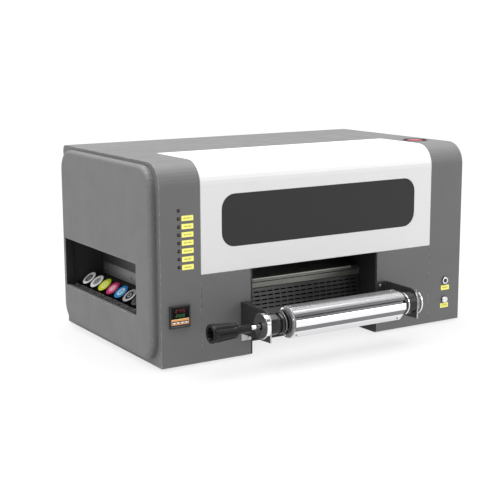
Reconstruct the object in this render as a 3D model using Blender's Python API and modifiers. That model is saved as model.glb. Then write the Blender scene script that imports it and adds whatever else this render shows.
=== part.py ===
"""Roll-fed desktop UV film printer with a front take-up mandrel.

Shapes are laid out in millimetres in the body frame: X runs right from the left wall of
the body, Y runs back from its front face and Z runs up from its underside. Every object
is then placed in metres, with the machine standing on Z = 0 at the middle of its box.
"""
import math

import bmesh
import bpy
from mathutils import Matrix, Vector

MM = 0.001
GAP = 0.3
SHEET = 3.0

# Body
BODY_WIDTH = 821.0
BODY_DEPTH = 490.0
BODY_HEIGHT = 432.0
FOOT_HEIGHT = 5.0
FOOT_RADIUS = 15.0
FOOT_INSET = 45.0
FRONT_RADIUS = 50.0
BACK_RADIUS = 12.0
COLUMN_WIDTH = 96.4
SEAM = 0.8
COVER_BOTTOM = 191.4
COVER_BACK = 194.4
COVER_WALL = 4.0
COVER_RIM = 20.0
SIDE_COVER = 16.0
SIDE_SKIN = 4.0

# Throat where the film comes out
THROAT_LEFT = 219.5
THROAT_RIGHT = 567.0
FRAME_PLATE = 4.5
NOTCH_DEPTH = 88.0

# Ink bay in the left side: (low, high) along Y and Z
BAY_Y = (82.0, 458.0)
BAY_Z = (99.0, 213.5)
CAP_PITCH = 44.0
CAP_FIRST_Y = 440.0
CAP_COUNT = 7
CAP_TOP = (35.0, 113.0)
CAP_RADIUS = 19.5
CAP_LEAN = math.radians(38.3)
CAP_FACE_DEPTH = 20.0
TANK_TOP = 114.0
CAP_LENGTH = 14.0

# Take-up mandrel
TAKEUP_Y = -96.0
TAKEUP_Z = 89.0
LEAF_RADIUS = 35.0
LEAF_WALL = 3.0
LEAF_FLAT = 30.0
LEAF_START = 251.4
LEAF_END = 548.6
LEAF_COUNT = 3
LEAF_SPAN = math.radians(107.0)
LEAF_FIRST = math.radians(-38.0)
BRACKET_REACH = 118.0
BRACKET_TOP = 121.0
LEFT_BRACKET = 194.3
RIGHT_BRACKET = 590.0
BRACKET_BORE = 11.0
CORE_STUB = 10.0

# Film path
PLATEN_TOP = 151.5
PLATEN_FRONT = 62.0
PLATEN_BACK = 240.0
FEED_Y = 256.0
FEED_RADIUS = 12.0
PINCH_RADIUS = 8.0
FILM_GAP = 0.6
SUPPLY_Y = 420.0
REAR_SLOT_X = (230.0, 556.0)
REAR_SLOT_Z = (25.0, 150.0)
SUPPLY_Z = 88.0

# Print carriage
BELT_Z = 260.0
BELT_Y = (249.5, 255.5)
PULLEY_RADIUS = 10.0
IDLER_X = 90.0
DRIVE_X = 746.5
BEAM_Y = (265.0, 295.0)
BEAM_Z = (236.0, 286.0)
CARRIAGE_X = (585.0, 715.0)
CARRIAGE_Y = (150.0, 245.0)
CARRIAGE_Z = (165.0, 235.0)
CARRIAGE_ARM_X = (600.0, 700.0)
SADDLE_TOP = 307.0
HEAD_LOW = (620.3, 170.3, 154.5)
HEAD_HIGH = (679.7, 224.7, 200.0)
LAMP_LOW = (547.0, 165.0, 166.0)
LAMP_HIGH = (584.7, 230.0, 226.0)
CAPPING_LOW = (600.0, 165.0, 3.5)
CAPPING_HIGH = (700.0, 230.0, 150.0)
BASIN_DEPTH = 6.0

MIDDLE_X = BODY_WIDTH / 2
MIDDLE_Y = (BODY_DEPTH + TAKEUP_Y - LEAF_RADIUS) / 2
TURN_SIDES = 32
SMOOTH_ANGLE = math.radians(35.0)

for old in list(bpy.data.objects):
    bpy.data.objects.remove(old, do_unlink=True)

parts = bpy.data.collections.new("uv_printer")
cutters = bpy.data.collections.new("cutters")
bpy.context.scene.collection.children.link(parts)
bpy.context.scene.collection.children.link(cutters)


# ---------------------------------------------------------------- helpers

def world(x, y, z):
    """Body-frame millimetres to scene metres."""
    return Vector(((x - MIDDLE_X) * MM, (y - MIDDLE_Y) * MM, (z + FOOT_HEIGHT) * MM))


def make_material(name, colour, roughness, metallic=0.0):
    material = bpy.data.materials.new(name)
    material.use_nodes = True
    shader = material.node_tree.nodes["Principled BSDF"]
    shader.inputs["Base Color"].default_value = (*colour, 1.0)
    shader.inputs["Roughness"].default_value = roughness
    shader.inputs["Metallic"].default_value = metallic
    return material


GREY = make_material("grey_paint", (0.16, 0.16, 0.16), 0.5)
WHITE = make_material("white_paint", (0.80, 0.80, 0.80), 0.4)
TINTED = make_material("tinted_window", (0.05, 0.05, 0.05), 0.15)
BLACK = make_material("black_plastic", (0.02, 0.02, 0.02), 0.5)
DARK_METAL = make_material("dark_anodised", (0.05, 0.05, 0.05), 0.4, 0.6)
ALUMINIUM = make_material("aluminium", (0.55, 0.56, 0.55), 0.4, 1.0)
CHROME = make_material("chrome", (0.75, 0.75, 0.76), 0.12, 1.0)
STEEL = make_material("steel", (0.45, 0.45, 0.45), 0.35, 1.0)
RUBBER = make_material("rubber", (0.03, 0.03, 0.03), 0.85)
RED = make_material("red_plastic", (0.45, 0.05, 0.08), 0.4)
WHITE_PLASTIC = make_material("white_plastic", (0.85, 0.85, 0.86), 0.35)
BOARD = make_material("circuit_board", (0.02, 0.12, 0.05), 0.6)
CAP_COLOURS = [
    make_material("cap_white", (0.80, 0.80, 0.80), 0.4),
    make_material("cap_white_clear", (0.78, 0.78, 0.80), 0.4),
    make_material("cap_yellow", (0.75, 0.78, 0.08), 0.4),
    make_material("cap_magenta", (0.60, 0.05, 0.20), 0.4),
    make_material("cap_cyan", (0.03, 0.25, 0.60), 0.4),
    make_material("cap_silver", (0.60, 0.60, 0.60), 0.35),
    make_material("cap_grey", (0.12, 0.12, 0.12), 0.4),
]


def new_object(name, shape, origin, material, collection=parts):
    """Turn a bmesh drawn in body millimetres into an object standing at its origin."""
    bmesh.ops.recalc_face_normals(shape, faces=shape.faces)
    shift = Vector(origin)
    for vertex in shape.verts:
        vertex.co = (vertex.co - shift) * MM
    mesh = bpy.data.meshes.new(name)
    shape.to_mesh(mesh)
    shape.free()
    mesh.shade_smooth()
    mesh.set_sharp_from_angle(angle=SMOOTH_ANGLE)
    if material:
        mesh.materials.append(material)
    result = bpy.data.objects.new(name, mesh)
    result.location = world(*origin)
    collection.objects.link(result)
    return result


def box_shape(low, high):
    shape = bmesh.new()
    bmesh.ops.create_cube(shape, size=1.0)
    size = Vector(high) - Vector(low)
    bmesh.ops.scale(shape, vec=size, verts=shape.verts)
    bmesh.ops.translate(shape, vec=(Vector(high) + Vector(low)) / 2, verts=shape.verts)
    return shape


def rod_shape(start, end, radius, sides=TURN_SIDES):
    start = Vector(start)
    end = Vector(end)
    along = end - start
    place = Matrix.Translation((start + end) / 2)
    place = place @ along.to_track_quat("Z", "Y").to_matrix().to_4x4()
    shape = bmesh.new()
    bmesh.ops.create_cone(shape, cap_ends=True, segments=sides, radius1=radius,
                          radius2=radius, depth=along.length, matrix=place)
    return shape


AXIS_MATRIX = {
    "X": Matrix(((0, 0, 1, 0), (1, 0, 0, 0), (0, 1, 0, 0), (0, 0, 0, 1))),
    "Y": Matrix(((1, 0, 0, 0), (0, 0, 1, 0), (0, 1, 0, 0), (0, 0, 0, 1))),
    "Z": Matrix.Identity(4),
}


def prism_shape(outlines, axis, low, high):
    """Extrude flat outlines (the later ones are holes) along an axis between two places.

    Outline points are (Y, Z) for axis X, (X, Z) for axis Y and (X, Y) for axis Z.
    """
    curve = bpy.data.curves.new("outline", "CURVE")
    curve.dimensions = "2D"
    curve.fill_mode = "BOTH"
    curve.extrude = (high - low) / 2
    for outline in outlines:
        spline = curve.splines.new("POLY")
        spline.points.add(len(outline) - 1)
        for point, (u, v) in zip(spline.points, outline):
            point.co = (u, v, 0.0, 1.0)
        spline.use_cyclic_u = True
    holder = bpy.data.objects.new("outline", curve)
    bpy.context.scene.collection.objects.link(holder)
    bpy.context.view_layer.update()
    evaluated = holder.evaluated_get(bpy.context.evaluated_depsgraph_get())
    mesh = bpy.data.meshes.new_from_object(evaluated)
    bpy.data.objects.remove(holder, do_unlink=True)
    shape = bmesh.new()
    shape.from_mesh(mesh)
    bpy.data.meshes.remove(mesh)
    bmesh.ops.remove_doubles(shape, verts=shape.verts, dist=0.001)
    bmesh.ops.dissolve_limit(shape, angle_limit=math.radians(0.5), verts=shape.verts,
                             edges=shape.edges)
    bmesh.ops.translate(shape, vec=(0.0, 0.0, (high + low) / 2), verts=shape.verts)
    bmesh.ops.transform(shape, matrix=AXIS_MATRIX[axis], verts=shape.verts)
    return shape


def turned(name, profile, origin, direction, material, ring=False, sides=TURN_SIDES,
           collection=parts):
    """Turn a profile of (radius, height) millimetres about an axis through origin."""
    mesh = bpy.data.meshes.new(name)
    count = len(profile)
    links = [(i, i + 1) for i in range(count - 1)]
    if ring:
        links.append((count - 1, 0))
    mesh.from_pydata([(r * MM, 0.0, h * MM) for r, h in profile], links, [])
    mesh.materials.append(material)
    result = bpy.data.objects.new(name, mesh)
    collection.objects.link(result)
    screw = result.modifiers.new("turn", "SCREW")
    screw.axis = "Z"
    screw.angle = 2 * math.pi
    screw.steps = sides
    screw.render_steps = sides
    screw.use_merge_vertices = True
    screw.merge_threshold = 0.00001
    screw.use_smooth_shade = True
    result.location = world(*origin)
    result.rotation_euler = Vector(direction).to_track_quat("Z", "Y").to_euler()
    return result


def combine(target, tool, operation):
    tool.hide_render = True
    tool.display_type = "WIRE"
    modifier = target.modifiers.new(operation.lower(), "BOOLEAN")
    modifier.operation = operation
    modifier.solver = "EXACT"
    modifier.object = tool


def cut(target, shape):
    origin = (MIDDLE_X, MIDDLE_Y, 0.0)
    combine(target, new_object("cut_" + target.name, shape, origin, None, cutters), "DIFFERENCE")


def join(target, shape):
    origin = (MIDDLE_X, MIDDLE_Y, 0.0)
    combine(target, new_object("join_" + target.name, shape, origin, None, cutters), "UNION")


def soften(target, width, segments=2):
    bevel = target.modifiers.new("soften", "BEVEL")
    bevel.width = width * MM
    bevel.segments = segments
    bevel.limit_method = "ANGLE"
    bevel.angle_limit = math.radians(40.0)


def soften_rim(target, width, plane_x, segments=3):
    """Round only the outline edges that lie in one plane across X."""
    shape = bmesh.new()
    shape.from_mesh(target.data)
    weight = shape.edges.layers.float.new("bevel_weight_edge")
    for edge in shape.edges:
        level = all(abs(v.co.x + target.location.x - plane_x) < 0.1 * MM for v in edge.verts)
        if level and edge.calc_face_angle() > SMOOTH_ANGLE:
            edge[weight] = 1.0
    shape.to_mesh(target.data)
    shape.free()
    bevel = target.modifiers.new("round_rim", "BEVEL")
    bevel.width = width * MM
    bevel.segments = segments
    bevel.limit_method = "WEIGHT"


def arc(centre, radius, start, end, steps):
    """Points round a centre, with angles in degrees."""
    points = []
    for i in range(steps + 1):
        angle = math.radians(start + (end - start) * i / steps)
        points.append((centre[0] + radius * math.cos(angle), centre[1] + radius * math.sin(angle)))
    return points


def rounded_rectangle(low, high, radius, steps=6):
    corners = [
        ((high[0] - radius, high[1] - radius), 0),
        ((low[0] + radius, high[1] - radius), 90),
        ((low[0] + radius, low[1] + radius), 180),
        ((high[0] - radius, low[1] + radius), 270),
    ]
    points = []
    for centre, start in corners:
        points += arc(centre, radius, start, start + 90, steps)
    return points


def plain(name, low, high, material, bevel=0.0):
    """A rectangular block with its origin at its middle."""
    middle = tuple((a + b) / 2 for a, b in zip(low, high))
    result = new_object(name, box_shape(low, high), middle, material)
    if bevel:
        soften(result, bevel)
    return result


# ---------------------------------------------------------------- body shells

FRONT_CENTRE = (FRONT_RADIUS, BODY_HEIGHT - FRONT_RADIUS)
BACK_CENTRE = (BODY_DEPTH - BACK_RADIUS, BODY_HEIGHT - BACK_RADIUS)


def body_side(inset, bottom):
    """Side view of the body: large radius at the front top, small one at the back top."""
    points = [(inset, bottom)]
    points += arc(FRONT_CENTRE, FRONT_RADIUS - inset, 180, 90, 10)
    points += arc(BACK_CENTRE, BACK_RADIUS - inset, 90, 0, 3)
    points.append((BODY_DEPTH - inset, bottom))
    return points


def cover_side(outer, inner, bottom, back):
    """L-shaped band between two insets of the body's side view."""
    points = [(outer, bottom)]
    points += arc(FRONT_CENTRE, FRONT_RADIUS - outer, 180, 90, 10)
    points.append((back, BODY_HEIGHT - outer))
    points.append((back, BODY_HEIGHT - inner))
    points += arc(FRONT_CENTRE, FRONT_RADIUS - inner, 90, 180, 10)
    points.append((inner, bottom))
    return points


def column_shell(name, low, high, inner_low, inner_high):
    origin = ((low + high) / 2, BODY_DEPTH / 2, 0.0)
    shell = new_object(name, prism_shape([body_side(0.0, 0.0)], "X", low, high), origin, GREY)
    cut(shell, prism_shape([body_side(SHEET, -SHEET)], "X", inner_low, inner_high))
    return shell


LAMP_X = 44.4
LAMP_TOP = 333.0
LAMP_PITCH = 17.1
LAMP_COUNT = 8
CONTROL_X = (18.9, 66.9)
CONTROL_Z = (84.7, 132.7)
BUTTON_X = 775.0
BUTTON_Z = (100.0, 52.5)
ESTOP = (768.0, 115.0)
INLET_X = 768.0
INLET_Z = 60.0


def lamp_heights():
    return [LAMP_TOP - LAMP_PITCH * i for i in range(LAMP_COUNT)]


def left_column():
    high = COLUMN_WIDTH - SEAM / 2
    shell = column_shell("left_column_shell", 0.0, high, SHEET, high + SHEET)
    cut(shell, box_shape((-SHEET, BAY_Y[0], BAY_Z[0]), (2 * SHEET, BAY_Y[1], BAY_Z[1])))
    inset = 1.2
    cut(shell, box_shape((CONTROL_X[0] + inset, -SHEET, CONTROL_Z[0] + inset),
                         (CONTROL_X[1] - inset, 2 * SHEET, CONTROL_Z[1] - inset)))
    for height in lamp_heights():
        cut(shell, rod_shape((LAMP_X, -SHEET, height), (LAMP_X, 2 * SHEET, height), 3.5, 12))


def right_column():
    low = BODY_WIDTH - COLUMN_WIDTH + SEAM / 2
    shell = column_shell("right_column_shell", low, BODY_WIDTH, low - SHEET, BODY_WIDTH - SHEET)
    for height in BUTTON_Z:
        cut(shell, rod_shape((BUTTON_X, -SHEET, height), (BUTTON_X, 2 * SHEET, height), 8.1, 20))
    x, y = ESTOP
    cut(shell, rod_shape((x, y, BODY_HEIGHT - 2 * SHEET), (x, y, BODY_HEIGHT + SHEET), 28.4))
    cut(shell, box_shape((INLET_X - 14.4, BODY_DEPTH - 2 * SHEET, INLET_Z - 10.4),
                         (INLET_X + 14.4, BODY_DEPTH + SHEET, INLET_Z + 10.4)))


def middle_span():
    low = COLUMN_WIDTH + SEAM / 2
    return low, BODY_WIDTH - low


def rear_cover():
    start = COVER_BACK + SEAM
    side = [(start, BODY_HEIGHT)]
    side += arc(BACK_CENTRE, BACK_RADIUS, 90, 0, 3)
    side += [(BODY_DEPTH, 0.0), (BODY_DEPTH - SHEET, 0.0)]
    side += arc(BACK_CENTRE, BACK_RADIUS - SHEET, 0, 90, 3)
    side.append((start, BODY_HEIGHT - SHEET))
    low, high = middle_span()
    cover = new_object("rear_cover", prism_shape([side], "X", low, high),
                       (MIDDLE_X, BODY_DEPTH, 0.0), GREY)
    cut(cover, box_shape((REAR_SLOT_X[0], BODY_DEPTH - 2 * SHEET, REAR_SLOT_Z[0]),
                         (REAR_SLOT_X[1], BODY_DEPTH + SHEET, REAR_SLOT_Z[1])))


def lower_panels():
    low, high = middle_span()
    top = COVER_BOTTOM - SEAM / 2
    plain("left_lower_panel", (low, 0.0, 0.0), (THROAT_LEFT - GAP, SHEET, top), GREY)
    plain("right_lower_panel", (THROAT_RIGHT + GAP, 0.0, 0.0), (high, SHEET, top), GREY)


def base_plate():
    edge = SHEET + 0.4
    plate = plain("base_plate", (edge, edge, GAP),
                  (BODY_WIDTH - edge, BODY_DEPTH - edge, SHEET), GREY)
    cut(plate, box_shape((THROAT_LEFT - GAP, -SHEET, -SHEET),
                         (THROAT_RIGHT + GAP, NOTCH_DEPTH, 2 * SHEET)))


def feet():
    for side, x in (("left", FOOT_INSET), ("right", BODY_WIDTH - FOOT_INSET)):
        for end, y in (("front", FOOT_INSET), ("rear", BODY_DEPTH - FOOT_INSET)):
            profile = [(0.0, FOOT_HEIGHT), (FOOT_RADIUS, FOOT_HEIGHT), (FOOT_RADIUS - 2, 0.0), (0.0, 0.0)]
            turned("foot_" + end + "_" + side, profile, (x, y, -FOOT_HEIGHT), (0, 0, 1),
                   RUBBER, sides=20)


COVER_EDGE = 16.0
SIDE_CORNER = 48.0
SIDE_TOP = BODY_HEIGHT - 7.5
SIDE_BOTTOM = 12.5


def side_cover_outline(inset):
    """Rounded plate whose lower corners run past the bottom edge and are cut short there."""
    front = COVER_EDGE + inset
    back = BODY_DEPTH - COVER_EDGE - inset
    top = SIDE_TOP - inset
    bottom = SIDE_BOTTOM + inset
    radius = SIDE_CORNER - inset
    sweep = 70.0
    low = bottom + radius * math.sin(math.radians(sweep))
    points = arc((front + radius, low), radius, 180 + sweep, 180, 6)
    points += arc((front + radius, top - radius), radius, 180, 90, 6)
    points += arc((back - radius, top - radius), radius, 90, 0, 6)
    points += arc((back - radius, low), radius, 0, -sweep, 6)
    return points


def side_cover(name, skin, inner):
    """A dished cover: a skin at its outer face and a rim that stands on the body's wall."""
    low, high = sorted((skin, inner))
    cover = new_object(name, prism_shape([side_cover_outline(0.0)], "X", low, high),
                       ((low + high) / 2, BODY_DEPTH / 2, BODY_HEIGHT / 2), GREY)
    soften_rim(cover, 8.0, world(skin, 0.0, 0.0).x)
    return cover


def bay_window(rim):
    return [(BAY_Y[0] - rim, BAY_Z[0] - rim), (BAY_Y[1] + rim, BAY_Z[0] - rim),
            (BAY_Y[1] + rim, BAY_Z[1] + rim), (BAY_Y[0] - rim, BAY_Z[1] + rim)]


def left_side_cover():
    cover = side_cover("left_side_cover", -SIDE_COVER, -GAP)
    origin = (MIDDLE_X, MIDDLE_Y, 0.0)
    hollow = prism_shape([side_cover_outline(10.0)], "X", -SIDE_COVER + SIDE_SKIN, SHEET)
    pocket = new_object("bay_pocket", hollow, origin, None, cutters)
    cut(pocket, prism_shape([bay_window(6.0)], "X", -2 * SIDE_COVER, SIDE_COVER))
    combine(cover, pocket, "DIFFERENCE")
    cut(cover, prism_shape([bay_window(0.0)], "X", -2 * SIDE_COVER, SIDE_COVER))


def right_side_cover():
    cover = side_cover("right_side_cover", BODY_WIDTH + SIDE_COVER, BODY_WIDTH + GAP)
    cut(cover, prism_shape([side_cover_outline(10.0)], "X",
                           BODY_WIDTH - SHEET, BODY_WIDTH + SIDE_COVER - SIDE_SKIN))


# ---------------------------------------------------------------- front cover

WINDOW_LOW = (148.0, 244.5)
WINDOW_HIGH = (674.0, 358.6)
WINDOW_CORNER = 32.0


def grown(low, high, amount):
    return (low[0] - amount, low[1] - amount), (high[0] + amount, high[1] + amount)


def front_cover():
    low, high = middle_span()
    bottom = COVER_BOTTOM + SEAM / 2
    hinge = (MIDDLE_X, COVER_BACK, BODY_HEIGHT)
    outer = cover_side(0.0, COVER_RIM, bottom, COVER_BACK)
    cover = new_object("front_cover", prism_shape([outer], "X", low, high), hinge, WHITE)
    hollow = cover_side(COVER_WALL, COVER_RIM + 5, bottom + COVER_WALL, COVER_BACK - COVER_WALL)
    cut(cover, prism_shape([hollow], "X", low + COVER_WALL, high - COVER_WALL))
    window = rounded_rectangle(WINDOW_LOW, WINDOW_HIGH, WINDOW_CORNER)
    cut(cover, prism_shape([window], "Y", -SHEET, 2 * COVER_WALL))


def cover_window():
    hinge = (MIDDLE_X, COVER_BACK, BODY_HEIGHT)
    low, high = grown(WINDOW_LOW, WINDOW_HIGH, -GAP)
    pane = prism_shape([rounded_rectangle(low, high, WINDOW_CORNER - GAP)], "Y", 0.2, 5.0)
    window = new_object("cover_window", pane, hinge, TINTED)
    low, high = grown(WINDOW_LOW, WINDOW_HIGH, 8.0)
    flange = rounded_rectangle(low, high, WINDOW_CORNER + 8.0)
    join(window, prism_shape([flange], "Y", COVER_WALL + GAP, COVER_WALL + 2.5))


# ---------------------------------------------------------------- film path

def frame_plate(low, high):
    side = [(GAP, GAP), (NOTCH_DEPTH - GAP, GAP), (NOTCH_DEPTH - GAP, SHEET + GAP),
            (470.0, SHEET + GAP), (470.0, 190.0), (300.0, 190.0), (300.0, BEAM_Z[0] - GAP),
            (262.0, BEAM_Z[0] - GAP), (262.0, 190.0), (246.5, 190.0), (246.5, 148.0),
            (100.0, 148.0), (100.0, 190.0), (GAP, 190.0)]
    return prism_shape([side], "X", low, high)


def engine_frame():
    left_high = THROAT_LEFT + FRAME_PLATE
    right_low = THROAT_RIGHT - FRAME_PLATE
    floor = box_shape((THROAT_LEFT, 92.0, SHEET + GAP), (THROAT_RIGHT, 470.0, 2 * SHEET))
    frame = new_object("engine_frame", floor, (MIDDLE_X, FEED_Y, 0.0), DARK_METAL)
    join(frame, frame_plate(THROAT_LEFT - 0.05, left_high))
    join(frame, frame_plate(right_low, THROAT_RIGHT + 0.05))
    feed_z = PLATEN_TOP - FEED_RADIUS
    pinch_z = PLATEN_TOP + FILM_GAP + PINCH_RADIUS
    bores = ((FEED_Y, feed_z, 4.6), (FEED_Y, pinch_z, 3.6), (SUPPLY_Y, SUPPLY_Z, 6.6))
    for y, z, radius in bores:
        cut(frame, rod_shape((THROAT_LEFT - 9, y, z), (THROAT_RIGHT + 9, y, z), radius, 24))


def platen():
    lip = 20.5
    side = [(PLATEN_FRONT, PLATEN_TOP - lip), (PLATEN_FRONT, PLATEN_TOP - 6.0),
            (PLATEN_FRONT + 1.5, PLATEN_TOP - 5.4), (PLATEN_FRONT, PLATEN_TOP - 4.8),
            (PLATEN_FRONT + 6.0, PLATEN_TOP), (PLATEN_BACK, PLATEN_TOP),
            (PLATEN_BACK, PLATEN_TOP - lip)]
    low = THROAT_LEFT + FRAME_PLATE + GAP
    high = THROAT_RIGHT - FRAME_PLATE - GAP
    new_object("platen", prism_shape([side], "X", low, high),
               (MIDDLE_X, PLATEN_FRONT, PLATEN_TOP), ALUMINIUM)


APRON_CENTRE = (190.0, 84.0)
APRON_RADIUS = 136.0
APRON_SHEET = 2.0


def film_apron():
    """Curved guide sheet that the film slides down from the platen."""
    centre_y, centre_z = APRON_CENTRE
    outer = arc(APRON_CENTRE, APRON_RADIUS, 160.5, 205.0, 10)
    inner = arc(APRON_CENTRE, APRON_RADIUS - APRON_SHEET, 205.0, 160.5, 10)
    low = THROAT_LEFT + FRAME_PLATE + GAP
    high = THROAT_RIGHT - FRAME_PLATE - GAP
    new_object("film_apron", prism_shape([outer + inner], "X", low, high),
               (MIDDLE_X, centre_y - APRON_RADIUS, centre_z), BLACK)


def roller(name, radius, journal, y, z, reach, material):
    """A plain roller between the frame plates, with journals that reach through them."""
    half = (THROAT_RIGHT - THROAT_LEFT) / 2 - FRAME_PLATE - 1.0
    end = half + reach
    profile = [(0.0, end), (journal, end), (journal, half), (radius, half),
               (radius, -half), (journal, -half), (journal, -end), (0.0, -end)]
    middle = (THROAT_LEFT + THROAT_RIGHT) / 2
    turned(name, profile, (middle, y, z), (1, 0, 0), material, sides=20)


def rollers():
    roller("feed_roller", FEED_RADIUS, 4.0, FEED_Y, PLATEN_TOP - FEED_RADIUS, 9.0, STEEL)
    pinch_z = PLATEN_TOP + FILM_GAP + PINCH_RADIUS
    roller("pinch_roller", PINCH_RADIUS, 3.0, FEED_Y, pinch_z, 9.0, RUBBER)
    roller("supply_shaft", 12.5, 6.0, SUPPLY_Y, SUPPLY_Z, 14.0, ALUMINIUM)


# ---------------------------------------------------------------- take-up mandrel

def bracket_outline(reach):
    corner = 25.0
    bottom = BRACKET_TOP - 71.0
    points = [(-GAP, bottom), (-reach, bottom + 5.0)]
    points += arc((-reach + corner, BRACKET_TOP - corner), corner, 180, 90, 6)
    points.append((-GAP, BRACKET_TOP))
    return points


def bracket(name, plate_low, plate_high, foot_low, foot_high, foot_bottom):
    plate = prism_shape([bracket_outline(BRACKET_REACH)], "X", plate_low, plate_high)
    result = new_object(name, plate, (plate_low, 0.0, TAKEUP_Z), DARK_METAL)
    join(result, box_shape((foot_low, -SHEET, foot_bottom), (foot_high, -GAP / 2, BRACKET_TOP)))
    cut(result, rod_shape((plate_low - 9, TAKEUP_Y, TAKEUP_Z),
                          (plate_high + 9, TAKEUP_Y, TAKEUP_Z), BRACKET_BORE, 24))


def brackets():
    bracket("left_bracket", LEFT_BRACKET, LEFT_BRACKET + SHEET,
            LEFT_BRACKET + 0.5, THROAT_LEFT - GAP, 34.0)
    bracket("right_bracket", RIGHT_BRACKET, RIGHT_BRACKET + SHEET,
            RIGHT_BRACKET - 28.0, RIGHT_BRACKET + 2.5, BRACKET_TOP - 71.0)


def bearing(name, low, high):
    profile = [(BRACKET_BORE, high - low), (25.0, high - low), (28.0, high - low - 2.0),
               (28.0, 2.0), (25.0, 0.0), (BRACKET_BORE, 0.0)]
    turned(name, profile, (low, TAKEUP_Y, TAKEUP_Z), (1, 0, 0), CHROME, ring=True, sides=24)


def bearings():
    bearing("left_bearing", LEFT_BRACKET - GAP - 10.4, LEFT_BRACKET - GAP)
    right = RIGHT_BRACKET + SHEET + GAP
    bearing("right_bearing", right, right + 10.4)


DRAWBAR_START = 140.3
DRAWBAR_END = 260.0
KNOB_START = 62.0


def takeup_knob():
    """Fluted hand knob, drawn smooth, with a recessed end and a neck round the drawbar."""
    profile = [(0.0, 140.0), (5.1, 140.0), (5.1, 157.0), (10.0, 157.0), (10.0, 125.0),
               (16.0, 122.0), (17.5, 118.0), (20.5, 70.0), (20.5, 64.0), (19.0, KNOB_START),
               (14.0, KNOB_START), (13.0, 72.0), (0.0, 72.0)]
    profile = [(radius, x - KNOB_START) for radius, x in profile]
    turned("takeup_knob", profile, (KNOB_START, TAKEUP_Y, TAKEUP_Z), (1, 0, 0), BLACK, sides=24)


def takeup_drawbar():
    length = DRAWBAR_END - DRAWBAR_START
    profile = [(0.0, length), (4.8, length), (4.8, 0.0), (0.0, 0.0)]
    turned("takeup_drawbar", profile, (DRAWBAR_START, TAKEUP_Y, TAKEUP_Z), (1, 0, 0),
           CHROME, sides=16)


def mandrel_core():
    left_stub = LEFT_BRACKET - GAP - 9.0
    right_stub = RIGHT_BRACKET + SHEET + GAP + 9.0
    profile = [(0.0, right_stub), (CORE_STUB, right_stub), (CORE_STUB, RIGHT_BRACKET - 1.0),
               (25.0, RIGHT_BRACKET - 1.0), (25.0, 556.0), (30.0, 556.0), (30.0, 549.2),
               (26.0, 549.2), (26.0, 250.6), (28.0, 250.6), (28.0, 241.0), (23.5, 240.0),
               (23.5, LEFT_BRACKET + SHEET + 1.0), (CORE_STUB, LEFT_BRACKET + SHEET + 1.0),
               (CORE_STUB, left_stub), (5.4, left_stub), (5.4, 262.0), (0.0, 262.0)]
    profile = [(radius, x - left_stub) for radius, x in profile]
    turned("mandrel_core", profile, (left_stub, TAKEUP_Y, TAKEUP_Z), (1, 0, 0), BLACK, sides=24)


def mandrel_leaves():
    """Chrome leaves round the core, each with a flat band between two rounded edges.

    Angle 0 faces the front and turns upward. LEAF_FLAT is half the flat band's angle.
    """
    centre = (TAKEUP_Y, TAKEUP_Z)
    half = math.degrees(LEAF_SPAN) / 2
    for index in range(LEAF_COUNT):
        middle = 180.0 - math.degrees(LEAF_FIRST) - 120.0 * index
        bore = LEAF_RADIUS - LEAF_WALL
        outer = arc(centre, LEAF_RADIUS, middle - half, middle - LEAF_FLAT, 5)
        outer += arc(centre, LEAF_RADIUS, middle + LEAF_FLAT, middle + half, 5)
        inner = arc(centre, bore, middle + half, middle + LEAF_FLAT, 5)
        inner += arc(centre, bore, middle - LEAF_FLAT, middle - half, 5)
        shape = prism_shape([outer + inner], "X", LEAF_START, LEAF_END)
        new_object("mandrel_leaf_" + str(index + 1), shape,
                   (LEAF_START, TAKEUP_Y, TAKEUP_Z), CHROME)


# ---------------------------------------------------------------- controls

def estop():
    """Emergency stop sunk in a cup, so that its head stands level with the roof."""
    x, y = ESTOP
    depth = 27.0
    lip = depth + 1.6
    cup = [(0.0, SHEET), (26.6, SHEET), (26.6, lip), (30.5, lip), (30.5, depth + GAP),
           (28.0, depth + GAP), (28.0, 0.0), (0.0, 0.0)]
    turned("estop_cup", cup, (x, y, BODY_HEIGHT - depth), (0, 0, 1), BLACK, sides=24)
    rest = BODY_HEIGHT - 19.0
    head = [(0.0, 20.4), (12.0, 19.8), (21.0, 17.4), (25.0, 13.0), (25.0, 8.0), (10.0, 6.0),
            (10.0, 0.0), (0.0, 0.0)]
    turned("estop_head", head, (x, y, rest), (0, 0, 1), RED, sides=24)


def push_button(name, height, cap_radius, cap_material, bezel_material):
    """Panel button: a flanged barrel from the front and a plunger that travels in it."""
    bore = cap_radius + 0.4
    back = -24.0
    bezel = [(0.0, back + 2.0), (bore, back + 2.0), (bore, 3.0), (bore + 0.5, 4.0), (7.8, 4.0),
             (8.6, 3.0), (8.6, GAP), (7.8, GAP), (7.8, back), (0.0, back)]
    turned(name + "_bezel", bezel, (BUTTON_X, 0.0, height), (0, -1, 0), bezel_material,
           sides=20)
    cap = [(0.0, 4.6), (cap_radius - 0.8, 4.6), (cap_radius, 3.8), (cap_radius, -16.0),
           (0.0, -16.0)]
    turned(name + "_cap", cap, (BUTTON_X, 0.0, height), (0, -1, 0), cap_material, sides=20)


def push_buttons():
    push_button("start_button", BUTTON_Z[0], 4.4, BLACK, CHROME)
    push_button("pause_button", BUTTON_Z[1], 6.8, WHITE_PLASTIC, CHROME)


KEY_COUNT = 4
KEY_SIZE = (7.6, 4.6)
KEY_Z = 97.0
KEY_SLOT = 0.35


def key_centres():
    middle = (CONTROL_X[0] + CONTROL_X[1]) / 2
    pitch = 9.6
    first = middle - pitch * (KEY_COUNT - 1) / 2
    return [first + pitch * i for i in range(KEY_COUNT)]


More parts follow.
